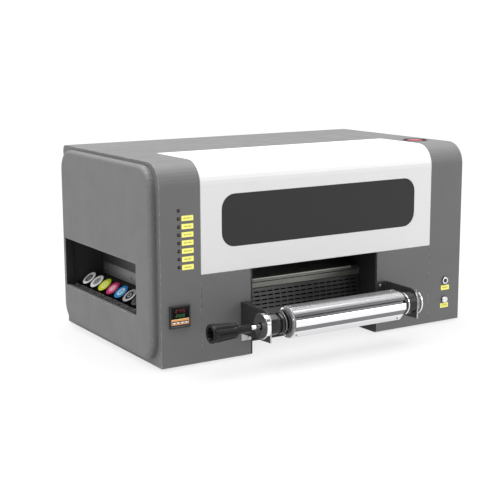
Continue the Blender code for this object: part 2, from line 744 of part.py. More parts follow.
def temperature_controller():
    """Standard 48 mm square panel instrument with a row of keys under its display."""
    low = (CONTROL_X[0], -4.0, CONTROL_Z[0])
    high = (CONTROL_X[1], -GAP, CONTROL_Z[1])
    body = plain("temperature_controller", low, high, BLACK)
    inset = 1.6
    join(body, box_shape((low[0] + inset, -2.0, low[2] + inset),
                         (high[0] - inset, 52.0, high[2] - inset)))
    half_x = KEY_SIZE[0] / 2 + KEY_SLOT
    half_z = KEY_SIZE[1] / 2 + KEY_SLOT
    for index, x in enumerate(key_centres()):
        cut(body, box_shape((x - half_x, -6.0, KEY_Z - half_z), (x + half_x, -1.0, KEY_Z + half_z)))
        half = KEY_SIZE[0] / 2
        plain("controller_key_" + str(index + 1), (x - half, -4.8, KEY_Z - KEY_SIZE[1] / 2),
              (x + half, -2.0, KEY_Z + KEY_SIZE[1] / 2), WHITE_PLASTIC)


def indicator_strip():
    bottom = min(lamp_heights()) - 8.0
    strip = plain("indicator_strip", (LAMP_X - 6.0, 6.0, bottom),
                  (LAMP_X + 6.0, 8.0, LAMP_TOP + 8.0), BOARD)
    for height in lamp_heights():
        join(strip, rod_shape((LAMP_X, -0.4, height), (LAMP_X, 7.0, height), 3.1, 12))


def power_inlet():
    """Mains appliance socket mounted from inside the rear wall."""
    back = BODY_DEPTH
    inlet = plain("power_inlet", (INLET_X - 13.9, back - 22.0, INLET_Z - 9.9),
                  (INLET_X + 13.9, back - 0.5, INLET_Z + 9.9), BLACK)
    join(inlet, box_shape((INLET_X - 24.0, back - 6.0, INLET_Z - 14.0),
                          (INLET_X + 24.0, back - SHEET - GAP, INLET_Z + 14.0)))
    cut(inlet, box_shape((INLET_X - 12.0, back - 17.0, INLET_Z - 8.2),
                         (INLET_X + 12.0, back + SHEET, INLET_Z + 8.2)))


# ---------------------------------------------------------------- print carriage

def gantry_beam():
    low, high = 75.0, 725.0
    beam = plain("gantry_beam", (low, BEAM_Y[0], BEAM_Z[0]), (high, BEAM_Y[1], BEAM_Z[1]),
                 ALUMINIUM)
    join(beam, box_shape((105.0, 272.0, BEAM_Z[1] - 1.0), (720.0, 288.0, BEAM_Z[1] + 8.0)))
    cut(beam, rod_shape((IDLER_X, BEAM_Y[0] - 5, BELT_Z), (IDLER_X, BEAM_Y[0] + 12, BELT_Z),
                        2.9, 24))


def print_carriage():
    low = (CARRIAGE_X[0], CARRIAGE_Y[0], CARRIAGE_Z[0])
    high = (CARRIAGE_X[1], CARRIAGE_Y[1], CARRIAGE_Z[1])
    carriage = plain("print_carriage", low, high, BLACK)
    cut(carriage, box_shape((low[0] + SHEET, low[1] + SHEET, low[2] + SHEET),
                            (high[0] - SHEET, high[1] - 5.0, high[2] + SHEET)))
    arm_low, arm_high = CARRIAGE_ARM_X
    join(carriage, box_shape((arm_low, 240.0, high[2] - 10.0), (arm_high, 244.9, SADDLE_TOP - 0.1)))
    join(carriage, box_shape((arm_low, 240.1, SADDLE_TOP - 10.0), (arm_high, 292.0, SADDLE_TOP)))
    cut(carriage, box_shape((HEAD_LOW[0] - GAP, HEAD_LOW[1] - GAP, low[2] - SHEET),
                            (HEAD_HIGH[0] + GAP, HEAD_HIGH[1] + GAP, low[2] + 2 * SHEET)))


def print_head():
    plain("print_head", HEAD_LOW, HEAD_HIGH, STEEL, bevel=1.0)


def uv_lamp():
    plain("uv_lamp", LAMP_LOW, LAMP_HIGH, ALUMINIUM, bevel=2.0)


def capping_station():
    station = plain("capping_station", CAPPING_LOW, CAPPING_HIGH, BLACK)
    rim_x, rim_y = 17.0, SHEET
    top = CAPPING_HIGH[2]
    cut(station, box_shape((CAPPING_LOW[0] + rim_x, CAPPING_LOW[1] + rim_y, top - BASIN_DEPTH),
                           (CAPPING_HIGH[0] - rim_x, CAPPING_HIGH[1] - rim_y, top + BASIN_DEPTH)))


def pulley(name, x):
    low, high = BELT_Y[0] - 0.5, BELT_Y[1] + 0.5
    centre = (low + high) / 2
    half = (high - low) / 2
    rim = half + 1.5
    pin = 18.0
    profile = [(0.0, pin), (2.5, pin), (2.5, rim), (12.5, rim), (12.5, half),
               (PULLEY_RADIUS, half), (PULLEY_RADIUS, -half), (12.5, -half), (12.5, -rim),
               (0.0, -rim)]
    turned(name, profile, (x, centre, BELT_Z), (0, 1, 0), STEEL, sides=20)


def carriage_motor():
    half = 21.0
    motor = plain("carriage_motor", (DRIVE_X - half, 258.5, BELT_Z - half),
                  (DRIVE_X + half, 300.0, BELT_Z + half), BLACK, bevel=3.0)
    cut(motor, rod_shape((DRIVE_X, 250.0, BELT_Z), (DRIVE_X, 276.0, BELT_Z), 2.9, 24))


def carriage_belt():
    loops = []
    for radius in (PULLEY_RADIUS + 1.8, PULLEY_RADIUS + 0.3):
        loops.append(arc((DRIVE_X, BELT_Z), radius, -90, 90, 10)
                     + arc((IDLER_X, BELT_Z), radius, 90, 270, 10))
    new_object("carriage_belt", prism_shape(loops, "Y", *BELT_Y),
               ((IDLER_X + DRIVE_X) / 2, BELT_Y[0], BELT_Z), RUBBER)


# ---------------------------------------------------------------- ink bay

CAP_TILT = Vector((-math.sin(CAP_LEAN), 0.0, math.cos(CAP_LEAN)))
NECK_RADIUS = 13.0


def cap_centres():
    return [CAP_FIRST_Y - CAP_PITCH * i for i in range(CAP_COUNT)]


def ink_bay_tray():
    """Moulded bay: an open box with a sloping tank block whose necks face up and outward."""
    tray = plain("ink_bay_tray", (3.4, 62.0, 48.0), (94.0, 468.0, 230.0), BLACK)
    cut(tray, box_shape((-SHEET, 65.0, 51.0), (91.0, 465.0, 227.0)))
    front, back = 8.0, 93.0
    face_middle = CAP_TOP[1] - CAP_FACE_DEPTH / math.cos(CAP_LEAN)
    face_back = CAP_TOP[0] + (TANK_TOP - face_middle) / math.tan(CAP_LEAN)
    face_front = face_middle - (CAP_TOP[0] - front) * math.tan(CAP_LEAN)
    block = [(front, 49.0), (back, 49.0), (back, TANK_TOP), (face_back, TANK_TOP), (front, face_front)]
    join(tray, prism_shape([block], "Y", 150.0, 467.0))
    for y in cap_centres():
        top = Vector((CAP_TOP[0], y, CAP_TOP[1]))
        join(tray, rod_shape(top - CAP_TILT * 26.0, top - CAP_TILT * 5.0, NECK_RADIUS, 20))


def ink_caps():
    for index, y in enumerate(cap_centres()):
        profile = [(0.0, 0.0), (CAP_RADIUS - 1.5, 0.0), (CAP_RADIUS, -1.5),
                   (CAP_RADIUS, -CAP_LENGTH), (NECK_RADIUS + 1.2, -CAP_LENGTH),
                   (NECK_RADIUS + 1.2, -3.5), (0.0, -3.5)]
        turned("ink_cap_" + str(index + 1), profile, (CAP_TOP[0], y, CAP_TOP[1]), CAP_TILT,
               CAP_COLOURS[index], sides=20)


def build():
    left_column()
    right_column()
    rear_cover()
    lower_panels()
    base_plate()
    feet()
    left_side_cover()
    right_side_cover()
    front_cover()
    cover_window()
    engine_frame()
    platen()
    film_apron()
    rollers()
    brackets()
    bearings()
    takeup_knob()
    takeup_drawbar()
    mandrel_core()
    mandrel_leaves()
    estop()
    push_buttons()
    temperature_controller()
    indicator_strip()
    power_inlet()
    gantry_beam()
    print_carriage()
    print_head()
    uv_lamp()
    capping_station()
    pulley("drive_pulley", DRIVE_X)
    pulley("idler_pulley", IDLER_X)
    carriage_motor()
    carriage_belt()
    ink_bay_tray()
    ink_caps()


build()
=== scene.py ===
"""Desktop roll-fed UV printer: painted cabinet, white hood, ink bay, controls and a take-up mandrel.

Everything is placed in cabinet millimetres: x to the right from the cabinet's left wall, y back from
its front face, z up from its underside.
"""

import math

import bmesh
import bpy
from mathutils import Matrix, Vector


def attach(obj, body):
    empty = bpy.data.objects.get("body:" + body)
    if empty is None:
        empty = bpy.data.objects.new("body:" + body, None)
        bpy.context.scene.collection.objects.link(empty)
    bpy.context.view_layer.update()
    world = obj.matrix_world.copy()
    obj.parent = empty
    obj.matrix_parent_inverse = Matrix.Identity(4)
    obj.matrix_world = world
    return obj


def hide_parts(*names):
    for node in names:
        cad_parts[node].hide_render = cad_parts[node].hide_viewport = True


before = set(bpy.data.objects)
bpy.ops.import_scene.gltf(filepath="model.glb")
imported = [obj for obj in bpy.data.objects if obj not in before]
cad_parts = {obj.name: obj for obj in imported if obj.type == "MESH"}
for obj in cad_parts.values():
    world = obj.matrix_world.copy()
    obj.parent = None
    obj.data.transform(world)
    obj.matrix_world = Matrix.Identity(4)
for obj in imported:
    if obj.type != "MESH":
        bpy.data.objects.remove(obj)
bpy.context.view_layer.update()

# ---- driving dimensions, millimetres
CABINET_MIDDLE = 410.5
BOX_MIDDLE_Y = 179.5
FOOT_HEIGHT = 5.0
DEPTH, HEIGHT = 490.0, 432.0

THROAT_X = (224.3, 562.2)
APRON_CENTRE = (190.0, 84.0)
APRON_RADIUS = 136.0
APRON_SHEET = 2.0

TAKEUP_Y, TAKEUP_Z = -96.0, 89.0
LEAF_X = (251.4, 548.6)
LEAF_RADIUS = 35.0
LEAF_WALL = 3.0
LEAF_FLAT = 30.0
LEAF_MIDDLES = (218.0, 98.0, -22.0)
LEAF_EDGE = 53.5
LEAF_STEPS = (-LEAF_EDGE, -49.0, -44.0, -39.0, -34.0, -30.6, -29.6)
HUB_X, HUB_PIN = 185.0, 75.0
KNOB_X, DRAWBAR_X = 62.0, 140.3

LAMP_X, LAMP_TOP, LAMP_PITCH, LAMP_COUNT = 44.4, 333.0, 17.1, 8
LABEL_SIZE = (27.8, 11.0)
CONTROL_X, CONTROL_Z = (18.9, 66.9), (84.7, 132.7)
KEY_X, KEY_PITCH, KEY_COUNT = 28.5, 9.6, 4
BUTTON_X, START_Z, PAUSE_Z = 775.0, 100.0, 52.5
ESTOP_X, ESTOP_Y = 768.0, 115.0
INLET_X, INLET_Z = 768.0, 60.0

CAP_TOP = (35.0, 113.0)
CAP_FIRST_Y, CAP_PITCH, CAP_COUNT = 440.0, 44.0, 7
CAP_RADIUS, CAP_LENGTH = 19.5, 14.0
CAP_LEAN = math.radians(38.3)
CAP_AXIS = (-math.sin(CAP_LEAN), 0.0, math.cos(CAP_LEAN))


def place(x, y, z):
    """Cabinet millimetres to scene metres."""
    return Vector(((x - CABINET_MIDDLE) / 1000, (y - BOX_MIDDLE_Y) / 1000, (z + FOOT_HEIGHT) / 1000))


# ---- materials

def srgb(red, green, blue):
    """Screen colour, 0 to 255, as linear RGBA."""
    def linear(value):
        value /= 255
        return value / 12.92 if value <= 0.04045 else ((value + 0.055) / 1.055) ** 2.4
    return (linear(red), linear(green), linear(blue), 1.0)


def scaled(colour, factor):
    return tuple(min(1.0, c * factor) for c in colour[:3]) + (1.0,)


class Graph:
    """A material and short calls to add and link its nodes."""

    def __init__(self, name):
        self.material = bpy.data.materials.new(name)
        self.material.use_nodes = True
        self.tree = self.material.node_tree
        self.shader = self.tree.nodes["Principled BSDF"]

    def add(self, kind, inputs, output, **settings):
        node = self.tree.nodes.new(kind)
        for key, value in settings.items():
            setattr(node, key, value)
        for key, value in inputs.items():
            if isinstance(value, bpy.types.NodeSocket):
                self.tree.links.new(value, node.inputs[key])
            else:
                node.inputs[key].default_value = value
        return node.outputs[output]

    def noise(self, where, size, detail=3.0):
        """Noise whose blobs are about size millimetres across."""
        settings = {"Vector": where, "Scale": 1000 / size, "Detail": detail}
        return self.add("ShaderNodeTexNoise", settings, "Fac")

    def span(self, value, low, high, to_low, to_high):
        return self.add("ShaderNodeMapRange", {"Value": value, "From Min": low, "From Max": high,
                                               "To Min": to_low, "To Max": to_high}, "Result")

    def sum(self, operation, first, second):
        return self.add("ShaderNodeMath", {0: first, 1: second}, 0, operation=operation)

    def blend(self, factor, first, second):
        return self.add("ShaderNodeMix", {0: factor, 6: first, 7: second}, 2, data_type="RGBA")

    def feed(self, socket, value):
        target = self.shader.inputs[socket]
        if isinstance(value, bpy.types.NodeSocket):
            self.tree.links.new(value, target)
        else:
            target.default_value = value


def finish(name, colour, roughness, metallic=0.0, patch=0.05, patch_size=70.0, grain=0.7, relief=0.012,
           edge=0.5, spread=0.05, stretch=(1, 1, 1), edge_wear_and_highlight=None, coat=0.0, glow=None, specular=0.5, fade=None):
    """A painted, moulded or metal surface: uneven tone, fine grain, uneven gloss and softened edges, rubbed
    lighter as wear and painted highlight.

    Colours are screen colours and lengths are millimetres. patch is how far the tone wanders, spread how far
    the roughness does. fade paints shade, darkening along an axis: (axis, start, end, first factor, last
    factor).
    """
    colour = srgb(*colour)
    graph = Graph(name)
    where = graph.add("ShaderNodeTexCoord", {}, "Object")
    along = graph.add("ShaderNodeMapping", {"Vector": where, "Scale": stretch}, "Vector")
    broad = graph.noise(along, patch_size, 5.0)
    fine = graph.noise(along, grain, 2.0)
    mixed = graph.sum("ADD", graph.sum("MULTIPLY", broad, 0.65), graph.sum("MULTIPLY", fine, 0.35))
    tone = graph.span(mixed, 0.35, 0.65, 0.0, 1.0)
    shade = graph.blend(tone, scaled(colour, 1 - patch), scaled(colour, 1 + patch))
    softened = graph.add("ShaderNodeBevel", {"Radius": edge / 1000}, "Normal", samples=4)
    # edge_wear_and_highlight lightens the edges: partly wear, partly painted highlight.
    if edge_wear_and_highlight:
        flat = graph.add("ShaderNodeNewGeometry", {}, "Normal")
        wide = graph.add("ShaderNodeBevel", {"Radius": edge / 400}, "Normal", samples=4)
        turn = graph.add("ShaderNodeVectorMath", {0: flat, 1: wide}, "Value", operation="DOT_PRODUCT")
        rubbed_and_lit_edges = graph.span(turn, 0.995, 0.80, 0.0, 1.0)
        rubbed_and_lit_edges = graph.sum("MULTIPLY", rubbed_and_lit_edges, graph.span(graph.noise(where, 9.0), 0.42, 0.62, 0.15, 0.9))
        shade = graph.blend(rubbed_and_lit_edges, shade, srgb(*edge_wear_and_highlight))
    # fade darkens the colour along an axis: painted shade.
    if fade:
        axis, start, end, first, last = fade
        across = graph.add("ShaderNodeSeparateXYZ", {0: where}, "XYZ"[axis])
        painted_shade = graph.span(across, place(start, start, 0)[axis], place(end, end, 0)[axis], first, last)
        shade = graph.blend(painted_shade, (0.0, 0.0, 0.0, 1.0), shade)
    graph.feed("Base Color", shade)
    gloss = graph.noise(along, patch_size / 3, 4.0)
    smoothest, roughest = max(0.02, roughness - spread), min(1.0, roughness + spread)
    graph.feed("Roughness", graph.span(gloss, 0.3, 0.7, smoothest, roughest))
    bump = {"Height": fine, "Distance": relief / 1000, "Strength": 1.0, "Normal": softened}
    graph.feed("Normal", graph.add("ShaderNodeBump", bump, "Normal"))
    graph.feed("Metallic", metallic)
    graph.feed("Specular IOR Level", specular)
    if coat:
        graph.feed("Coat Weight", coat)
        graph.feed("Coat Roughness", 0.08)
    if glow:
        graph.feed("Emission Color", srgb(*glow[0]))
        graph.feed("Emission Strength", glow[1])
    return graph.material


# After the name: screen colour, roughness, metallic, patch, patch size, grain, relief, edge.
GREY_PAINT = finish("powder_coat_grey", (103, 103, 103), 0.55, 0.0, 0.035, 140, 0.9, 0.035, 1.0, spread=0.07,
                    edge_wear_and_highlight=(176, 176, 176), specular=0.35)
WHITE_PAINT = finish("gloss_white_paint", (219, 219, 219), 0.34, 0.0, 0.012, 180, 1.3, 0.012, 1.2,
                     specular=0.4)
WINDOW = finish("tinted_acrylic", (45, 43, 44), 0.3, 0.0, 0.02, 400, 3.0, 0.001, 0.8, spread=0.01, coat=0.06,
                specular=0.22)
DARK_METAL = finish("dark_anodised", (66, 66, 67), 0.38, 0.55, 0.08, 40, 0.5, 0.01, 0.5, edge_wear_and_highlight=(205, 205, 205))
BRACKET_PAINT = finish("bracket_dark_coat", (44, 44, 45), 0.45, 0.0, 0.06, 40, 0.7, 0.02, 0.5,
                       edge_wear_and_highlight=(120, 120, 120), specular=0.3)
# Light metal of the left foot's lower part, and a painted highlight strip on the plates' front edges.
BRACKET_EDGE = finish("bracket_light_metal_and_edge_highlight", (186, 186, 186), 0.38, 0.3, 0.06, 12, 0.5, 0.01, 0.3)
BLACK_ANODISED = finish("black_anodised", (30, 30, 31), 0.34, 0.3, 0.1, 18, 0.5, 0.008, 0.4,
                        edge_wear_and_highlight=(130, 130, 130))
# Copies of chrome in grey, white, mid and dark tones, set face by face on the leaves: painted reflections,
# and painted shade on the leaves' inner faces.
PAINTED_GREY_REFLECTION = finish("chrome_painted_grey_reflection", (122, 122, 124), 0.34, 0.6, 0.04, 40, 1.5, 0.003, 0.3,
                    stretch=(0.06, 1, 1))
PAINTED_WHITE_REFLECTION = finish("chrome_painted_white_reflection", (238, 238, 240), 0.16, 1.0, 0.03, 40, 1.5, 0.003, 0.3, spread=0.04,
                     stretch=(0.06, 1, 1))
PAINTED_MID_REFLECTION = finish("chrome_painted_mid_reflection", (170, 170, 172), 0.3, 0.9, 0.04, 40, 1.5, 0.003, 0.3,
                   stretch=(0.06, 1, 1))
PAINTED_DARK_REFLECTION_AND_SHADE = finish("chrome_painted_dark_reflection_and_shade", (92, 92, 94), 0.36, 0.7, 0.05, 40, 1.5, 0.003, 0.3,
                    stretch=(0.06, 1, 1))
CORE_METAL = finish("core_satin", (120, 120, 122), 0.4, 0.8, 0.06, 40, 0.8, 0.004, 0.3, stretch=(0.1, 1, 1))
END_PLATE = finish("end_plate_grey", (150, 150, 151), 0.42, 0.15, 0.06, 14, 0.6, 0.006, 0.4,
                   edge_wear_and_highlight=(214, 214, 214))
BEARING_FACE = finish("bearing_dark_face", (78, 78, 79), 0.4, 0.2, 0.08, 14, 0.6, 0.01, 0.5,
                      edge_wear_and_highlight=(160, 160, 160))
BLACK_SHEET = finish("black_sheet", (74, 74, 72), 0.5, 0.35, 0.08, 60, 0.8, 0.02, 0.4)
# Engine frame sheet: its dark tone is partly painted shade, and the darkening towards the right is painted
# shade in the throat.
DARK_SHEET = finish("dark_sheet", (50, 50, 50), 0.55, 0.2, 0.08, 60, 0.8, 0.02, 0.4,
                    fade=(0, 150, 480, 1.0, 0.35))
# The platen rail darkens towards its right end: painted shade.
RAIL = finish("anodised_rail", (128, 129, 123), 0.4, 0.4, 0.08, 25, 0.35, 0.008, 0.5, stretch=(0.05, 1, 1),
              fade=(0, 400, 540, 1.0, 0.3))
# A lighter copy of the rail for its top edge: painted highlight.
RAIL_BRIGHT = finish("rail_top_edge", (196, 197, 190), 0.32, 0.5, 0.08, 25, 0.35, 0.006, 0.4,
                     stretch=(0.05, 1, 1))
# The apron sheet darkens towards the right: painted shade.
SLOTTED = finish("slotted_black_sheet", (84, 84, 83), 0.5, 0.2, 0.06, 60, 0.8, 0.02, 0.3,
                 fade=(0, 290, 410, 1.0, 0.14))
MACHINED = finish("machined_aluminium", (178, 180, 180), 0.33, 0.95, 0.07, 30, 0.4, 0.006, 0.5,
                  stretch=(0.15, 1, 1))
CHROME = finish("polished_chrome", (242, 242, 244), 0.08, 1.0, 0.02, 50, 3.0, 0.003, 0.4, spread=0.03,
                stretch=(0.08, 1, 1))
STEEL = finish("turned_steel", (176, 176, 174), 0.28, 1.0, 0.08, 22, 0.4, 0.005, 0.4, spread=0.08)
RUBBER = finish("matt_rubber", (40, 40, 41), 0.85, 0.0, 0.14, 20, 0.5, 0.03, 0.8, specular=0.25)
BLACK_PLASTIC = finish("textured_black_plastic", (32, 32, 33), 0.46, 0.0, 0.1, 40, 0.6, 0.03, 0.7,
                       spread=0.08, edge_wear_and_highlight=(72, 72, 73))
KNOB_PLASTIC = finish("knob_black", (13, 13, 14), 0.42, 0.0, 0.12, 25, 0.5, 0.02, 0.6, spread=0.06,
                      edge_wear_and_highlight=(48, 48, 49), specular=0.25)
BAY_PLASTIC = finish("bay_moulding", (40, 40, 41), 0.55, 0.0, 0.12, 60, 0.8, 0.03, 0.8, spread=0.08)
# The bay's inner plate and cable cover darken towards the back of the window: painted shade.
BAY_PLATE = finish("bay_plate_grey", (158, 158, 160), 0.5, 0.1, 0.06, 60, 0.8, 0.01, 0.3,
                   fade=(1, 340, 468, 1.0, 0.12))
BAY_UPPER = finish("bay_cable_cover", (84, 84, 85), 0.5, 0.1, 0.08, 60, 0.8, 0.01, 0.3,
                   fade=(1, 300, 468, 1.0, 0.2))
RED_PLASTIC = finish("red_plastic", (180, 58, 80), 0.33, 0.0, 0.05, 20, 1.0, 0.008, 0.8, coat=0.2)
WHITE_PLASTIC = finish("white_plastic", (232, 232, 233), 0.32, 0.0, 0.02, 12, 0.9, 0.006, 0.5)
BOARD = finish("circuit_board", (22, 84, 46), 0.5, 0.0, 0.15, 8, 0.4, 0.02, 0.5)
# The label is given a faint glow though it is no lamp: painted light.
LABEL = finish("yellow_label", (243, 239, 122), 0.42, 0.0, 0.03, 14, 0.5, 0.004, 0.1,
               glow=((243, 239, 122), 0.1))
LABEL_MARK = finish("label_mark", (196, 186, 82), 0.55, 0.0, 0.12, 4, 0.4, 0.002, 0.5)
LENS = finish("lamp_lens", (52, 22, 26), 0.18, 0.0, 0.2, 3, 0.8, 0.004, 0.5, coat=0.6)
DISPLAY = finish("display_glass", (20, 18, 18), 0.16, 0.0, 0.2, 15, 3.0, 0.003, 0.5, coat=0.4)
RED_DIGIT = finish("red_segments", (104, 18, 30), 0.4, 0.0, 0.1, 4, 0.7, 0.012, 0.5,
                   glow=((150, 18, 44), 0.2))
GREEN_DIGIT = finish("green_segments", (40, 92, 40), 0.4, 0.0, 0.1, 4, 0.7, 0.012, 0.5,
                     glow=((50, 150, 80), 0.35))
PEACH = finish("peach_overlay", (228, 160, 92), 0.4, 0.0, 0.06, 8, 0.6, 0.004, 0.5)
PEACH_LIGHT = finish("peach_edge", (246, 210, 150), 0.4, 0.0, 0.05, 8, 0.6, 0.004, 0.5)
CAP_BODY = finish("cap_black_skirt", (30, 30, 31), 0.4, 0.0, 0.12, 12, 0.7, 0.02, 0.4, edge_wear_and_highlight=(84, 84, 86))
# Near-black; where it lines holes, sockets, slots, grooves, dimples, vents and the space behind the apron, it
# is painted shade.
DARK_HOLE = finish("dark_recess", (14, 14, 14), 0.8, 0.0, 0.3, 10, 0.8, 0.01, 0.5, specular=0.1)
FLOOR = finish("studio_floor", (94, 94, 94), 0.8, 0.0, 0.01, 900, 30, 0.01, 0.2, specular=0.1,
               glow=((255, 255, 255), 0.78))


# ---- mesh building

RIGHT, LEFT = (1, 0, 0), (-1, 0, 0)
FRONT, BACK = (0, -1, 0), (0, 1, 0)
TOP, BOTTOM = (0, 0, 1), (0, 0, -1)


def polar(radius, degrees):
    angle = math.radians(degrees)
    return radius * math.cos(angle), radius * math.sin(angle)


def directions(axis):
    along = Vector(axis).normalized()
    helper = Vector(TOP) if abs(along.z) < 0.9 else Vector(BACK)
    side = along.cross(helper).normalized()
    return along, side, side.cross(along)


def rounded(width, height, radius, steps=6, centre=(0.0, 0.0)):
    """Rounded rectangle, counter-clockwise."""
    points = []
    for quarter, (sx, sy) in enumerate(((1, 1), (-1, 1), (-1, -1), (1, -1))):
        for step in range(steps + 1):
            u, v = polar(radius, 90 * quarter + 90 * step / steps)
            points.append((centre[0] + sx * (width / 2 - radius) + u,
                           centre[1] + sy * (height / 2 - radius) + v))
    return points


def on_front(y, x=0.0, z=0.0):
    """Placement with u to the right, v up and w towards the viewer, for pieces on a front face."""
    return Matrix(((1, 0, 0, x), (0, 0, -1, y), (0, 1, 0, z), (0, 0, 0, 1)))


def on_back(y, x=0.0, z=0.0):
    return Matrix(((-1, 0, 0, x), (0, 0, 1, y), (0, 1, 0, z), (0, 0, 0, 1)))


def on_top(z, x=0.0, y=0.0):
    return Matrix.Translation((x, y, z))


def on_left(x, y=0.0, z=0.0):
    """u towards the back, v up, w to the left."""
    return Matrix(((0, 0, -1, x), (1, 0, 0, y), (0, 1, 0, z), (0, 0, 0, 1)))


def bridge(shape, first, second):
    """The faces between two closed rings of vertices, where a ring of one vertex closes a fan."""
    count = max(len(first), len(second))
    faces = []
    for i in range(count if count > 1 else 0):
        j = (i + 1) % count
        if len(first) == 1:
            corners = (first[0], second[j], second[i])
        elif len(second) == 1:
            corners = (first[i], first[j], second[0])
        else:
            corners = (first[i], first[j], second[j], second[i])
        faces.append(shape.faces.new(corners))
    return faces


class Piece:
    """One mesh built in cabinet millimetres, with a list of materials, that rides on a body."""

    def __init__(self, name, body, slot, *materials):
        self.name = name
        self.body = body
        self.slot = slot
        self.materials = materials
        self.shape = bmesh.new()

    def take(self, part, material, soften=0.0):
        """Adds a bmesh to the piece; a material of None keeps what its faces already have."""
        bmesh.ops.recalc_face_normals(part, faces=part.faces)
        if soften:
            sharp = [e for e in part.edges
                     if len(e.link_faces) == 2 and e.calc_face_angle(0) > math.radians(40)]
            bmesh.ops.bevel(part, geom=sharp, offset=soften, segments=2, profile=0.5, affect="EDGES",
                            clamp_overlap=True)
        if material is not None:
            for face in part.faces:
                face.material_index = material
        mesh = bpy.data.meshes.new("part")
        part.to_mesh(mesh)
        part.free()
        self.shape.from_mesh(mesh)
        bpy.data.meshes.remove(mesh)

    def turn(self, profile, origin, axis, material=0, sides=48, ripple=None, loop=False):
        """A profile of (radius, distance) pairs turned round an axis."""
        along, side, up = directions(axis)
        part = bmesh.new()
        rings = []
        for radius, distance in profile:
            centre = Vector(origin) + along * distance
            if radius == 0.0:
                rings.append([part.verts.new(centre)])
                continue
            ring = []
            for i in range(sides):
                angle = 2 * math.pi * i / sides
                reach = radius * (ripple(angle, distance) if ripple else 1.0)
                ring.append(part.verts.new(centre + side * (reach * math.cos(angle))
                                           + up * (reach * math.sin(angle))))
            rings.append(ring)
        pairs = list(zip(rings, rings[1:]))
        if loop:
            pairs.append((rings[-1], rings[0]))
        for first, second in pairs:
            bridge(part, first, second)
        self.take(part, material)

    def slab(self, outline, where, low, high, material=0, hole=None, soften=0.0):
        """A flat outline, with a hole of as many points if given, extruded along the placement's w.

        Softened edges take the piece's first finish.
        """
        part = bmesh.new()
        rings = [[[part.verts.new(where @ Vector((u, v, w))) for u, v in loop] for w in (low, high)]
                 for loop in ([outline, hole] if hole else [outline])]
        for bottom, top in rings:
            bridge(part, bottom, top)
        for level in (0, 1):
            if hole:
                bridge(part, rings[0][level], rings[1][level])
            else:
                part.faces.new(rings[0][level])
        for face in part.faces:
            face.material_index = material
        self.take(part, None, soften)

    def block(self, low, high, material=0, soften=0.0):
        part = bmesh.new()
        size = [b - a for a, b in zip(low, high)]
        middle = [(a + b) / 2 for a, b in zip(low, high)]
        matrix = Matrix.Translation(middle) @ Matrix.Diagonal((*size, 1.0))
        bmesh.ops.create_cube(part, size=1.0, matrix=matrix)
        self.take(part, material, soften)

    def screw(self, centre, axis, radius=3.0, height=1.6, material=0, recess=1):
        """Button-head screw with a hexagonal socket."""
        socket = radius * 0.48
        floor = height * 0.45
        dome = [(radius, 0.0), (radius, height * 0.35), (radius * 0.88, height * 0.75),
                (radius * 0.66, height), (socket, height), (socket, floor)]
        self.turn(dome, centre, axis, material, sides=24)
        # The socket floor takes the recess material: painted shade.
        plug = [(0.0, floor), (socket, floor), (socket, height * 0.40), (0.0, height * 0.40)]
        self.turn(plug, centre, axis, recess, sides=6)

    def done(self, smooth=35.0, replaces=()):
        """Makes the object, rides its body and takes the place of the nodes named."""
        for vert in self.shape.verts:
            vert.co = place(*vert.co)
        mesh = bpy.data.meshes.new(self.name)
        self.shape.to_mesh(mesh)
        self.shape.free()
        for material in self.materials:
            mesh.materials.append(material)
        mesh.shade_smooth()
        mesh.set_sharp_from_angle(angle=math.radians(smooth))
        piece = bpy.data.objects.new(self.name, mesh)
        bpy.context.scene.collection.objects.link(piece)
        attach(piece, self.body)
        if replaces:
            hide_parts(*replaces)


# ---- CAD nodes that keep their shape

NODE_FINISH = {name: paint for paint, names in (
    (GREY_PAINT, "left_column_shell right_column_shell left_side_cover right_side_cover left_lower_panel "
                 "right_lower_panel rear_cover"),
    (BLACK_SHEET, "base_plate"), (WHITE_PAINT, "front_cover"), (WINDOW, "cover_window"),
    (DARK_SHEET, "engine_frame"), (RAIL, "platen"), (BAY_PLASTIC, "ink_bay_tray"),
    (MACHINED, "gantry_beam uv_lamp supply_shaft"), (STEEL, "print_head feed_roller"),
    (RUBBER, "pinch_roller"),
    (BLACK_PLASTIC, "temperature_controller print_carriage capping_station carriage_motor power_inlet"),
) for name in names.split()}


def dress_nodes():
    """Gives each CAD node a finish: its own from the list above, or the one its material asks for."""
    fallback = {"rubber": RUBBER, "steel": STEEL, "chrome": CHROME, "black_plastic": BLACK_PLASTIC,
                "white_plastic": WHITE_PLASTIC, "machined_aluminium": MACHINED}
    for name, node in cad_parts.items():
        own = node.material_slots[0].material.name
        chosen = NODE_FINISH.get(name) or fallback.get(own, BLACK_PLASTIC)
        for entry in node.material_slots:
            entry.material = chosen


# ---- controls on the front

def lamp_height(index):
    return LAMP_TOP - LAMP_PITCH * index


def indicator_lamps():
    lamps = Piece("indicator_lamps", "chassis", "circuit_board", BOARD, LENS, DARK_HOLE)
    bottom = lamp_height(LAMP_COUNT - 1) - 8.0
    lamps.block((LAMP_X - 6, 6.0, bottom), (LAMP_X + 6, 8.0, LAMP_TOP + 8), 0, soften=0.3)
    for index in range(LAMP_COUNT):
        origin = (LAMP_X, 0.0, lamp_height(index))
        dome = [(0.0, 1.5), (1.2, 1.4), (2.1, 0.9), (2.6, 0.1), (2.6, -6.0), (0.0, -6.0)]
        lamps.turn(dome, origin, FRONT, 1, sides=24)
        rim = [(2.7, -2.5), (2.7, 0.5), (3.0, 0.7), (3.7, 0.5), (3.9, 0.02), (3.1, 0.02), (3.1, -2.5)]
        lamps.turn(rim, origin, FRONT, 2, sides=24, loop=True)
    lamps.done(replaces=("indicator_strip",))


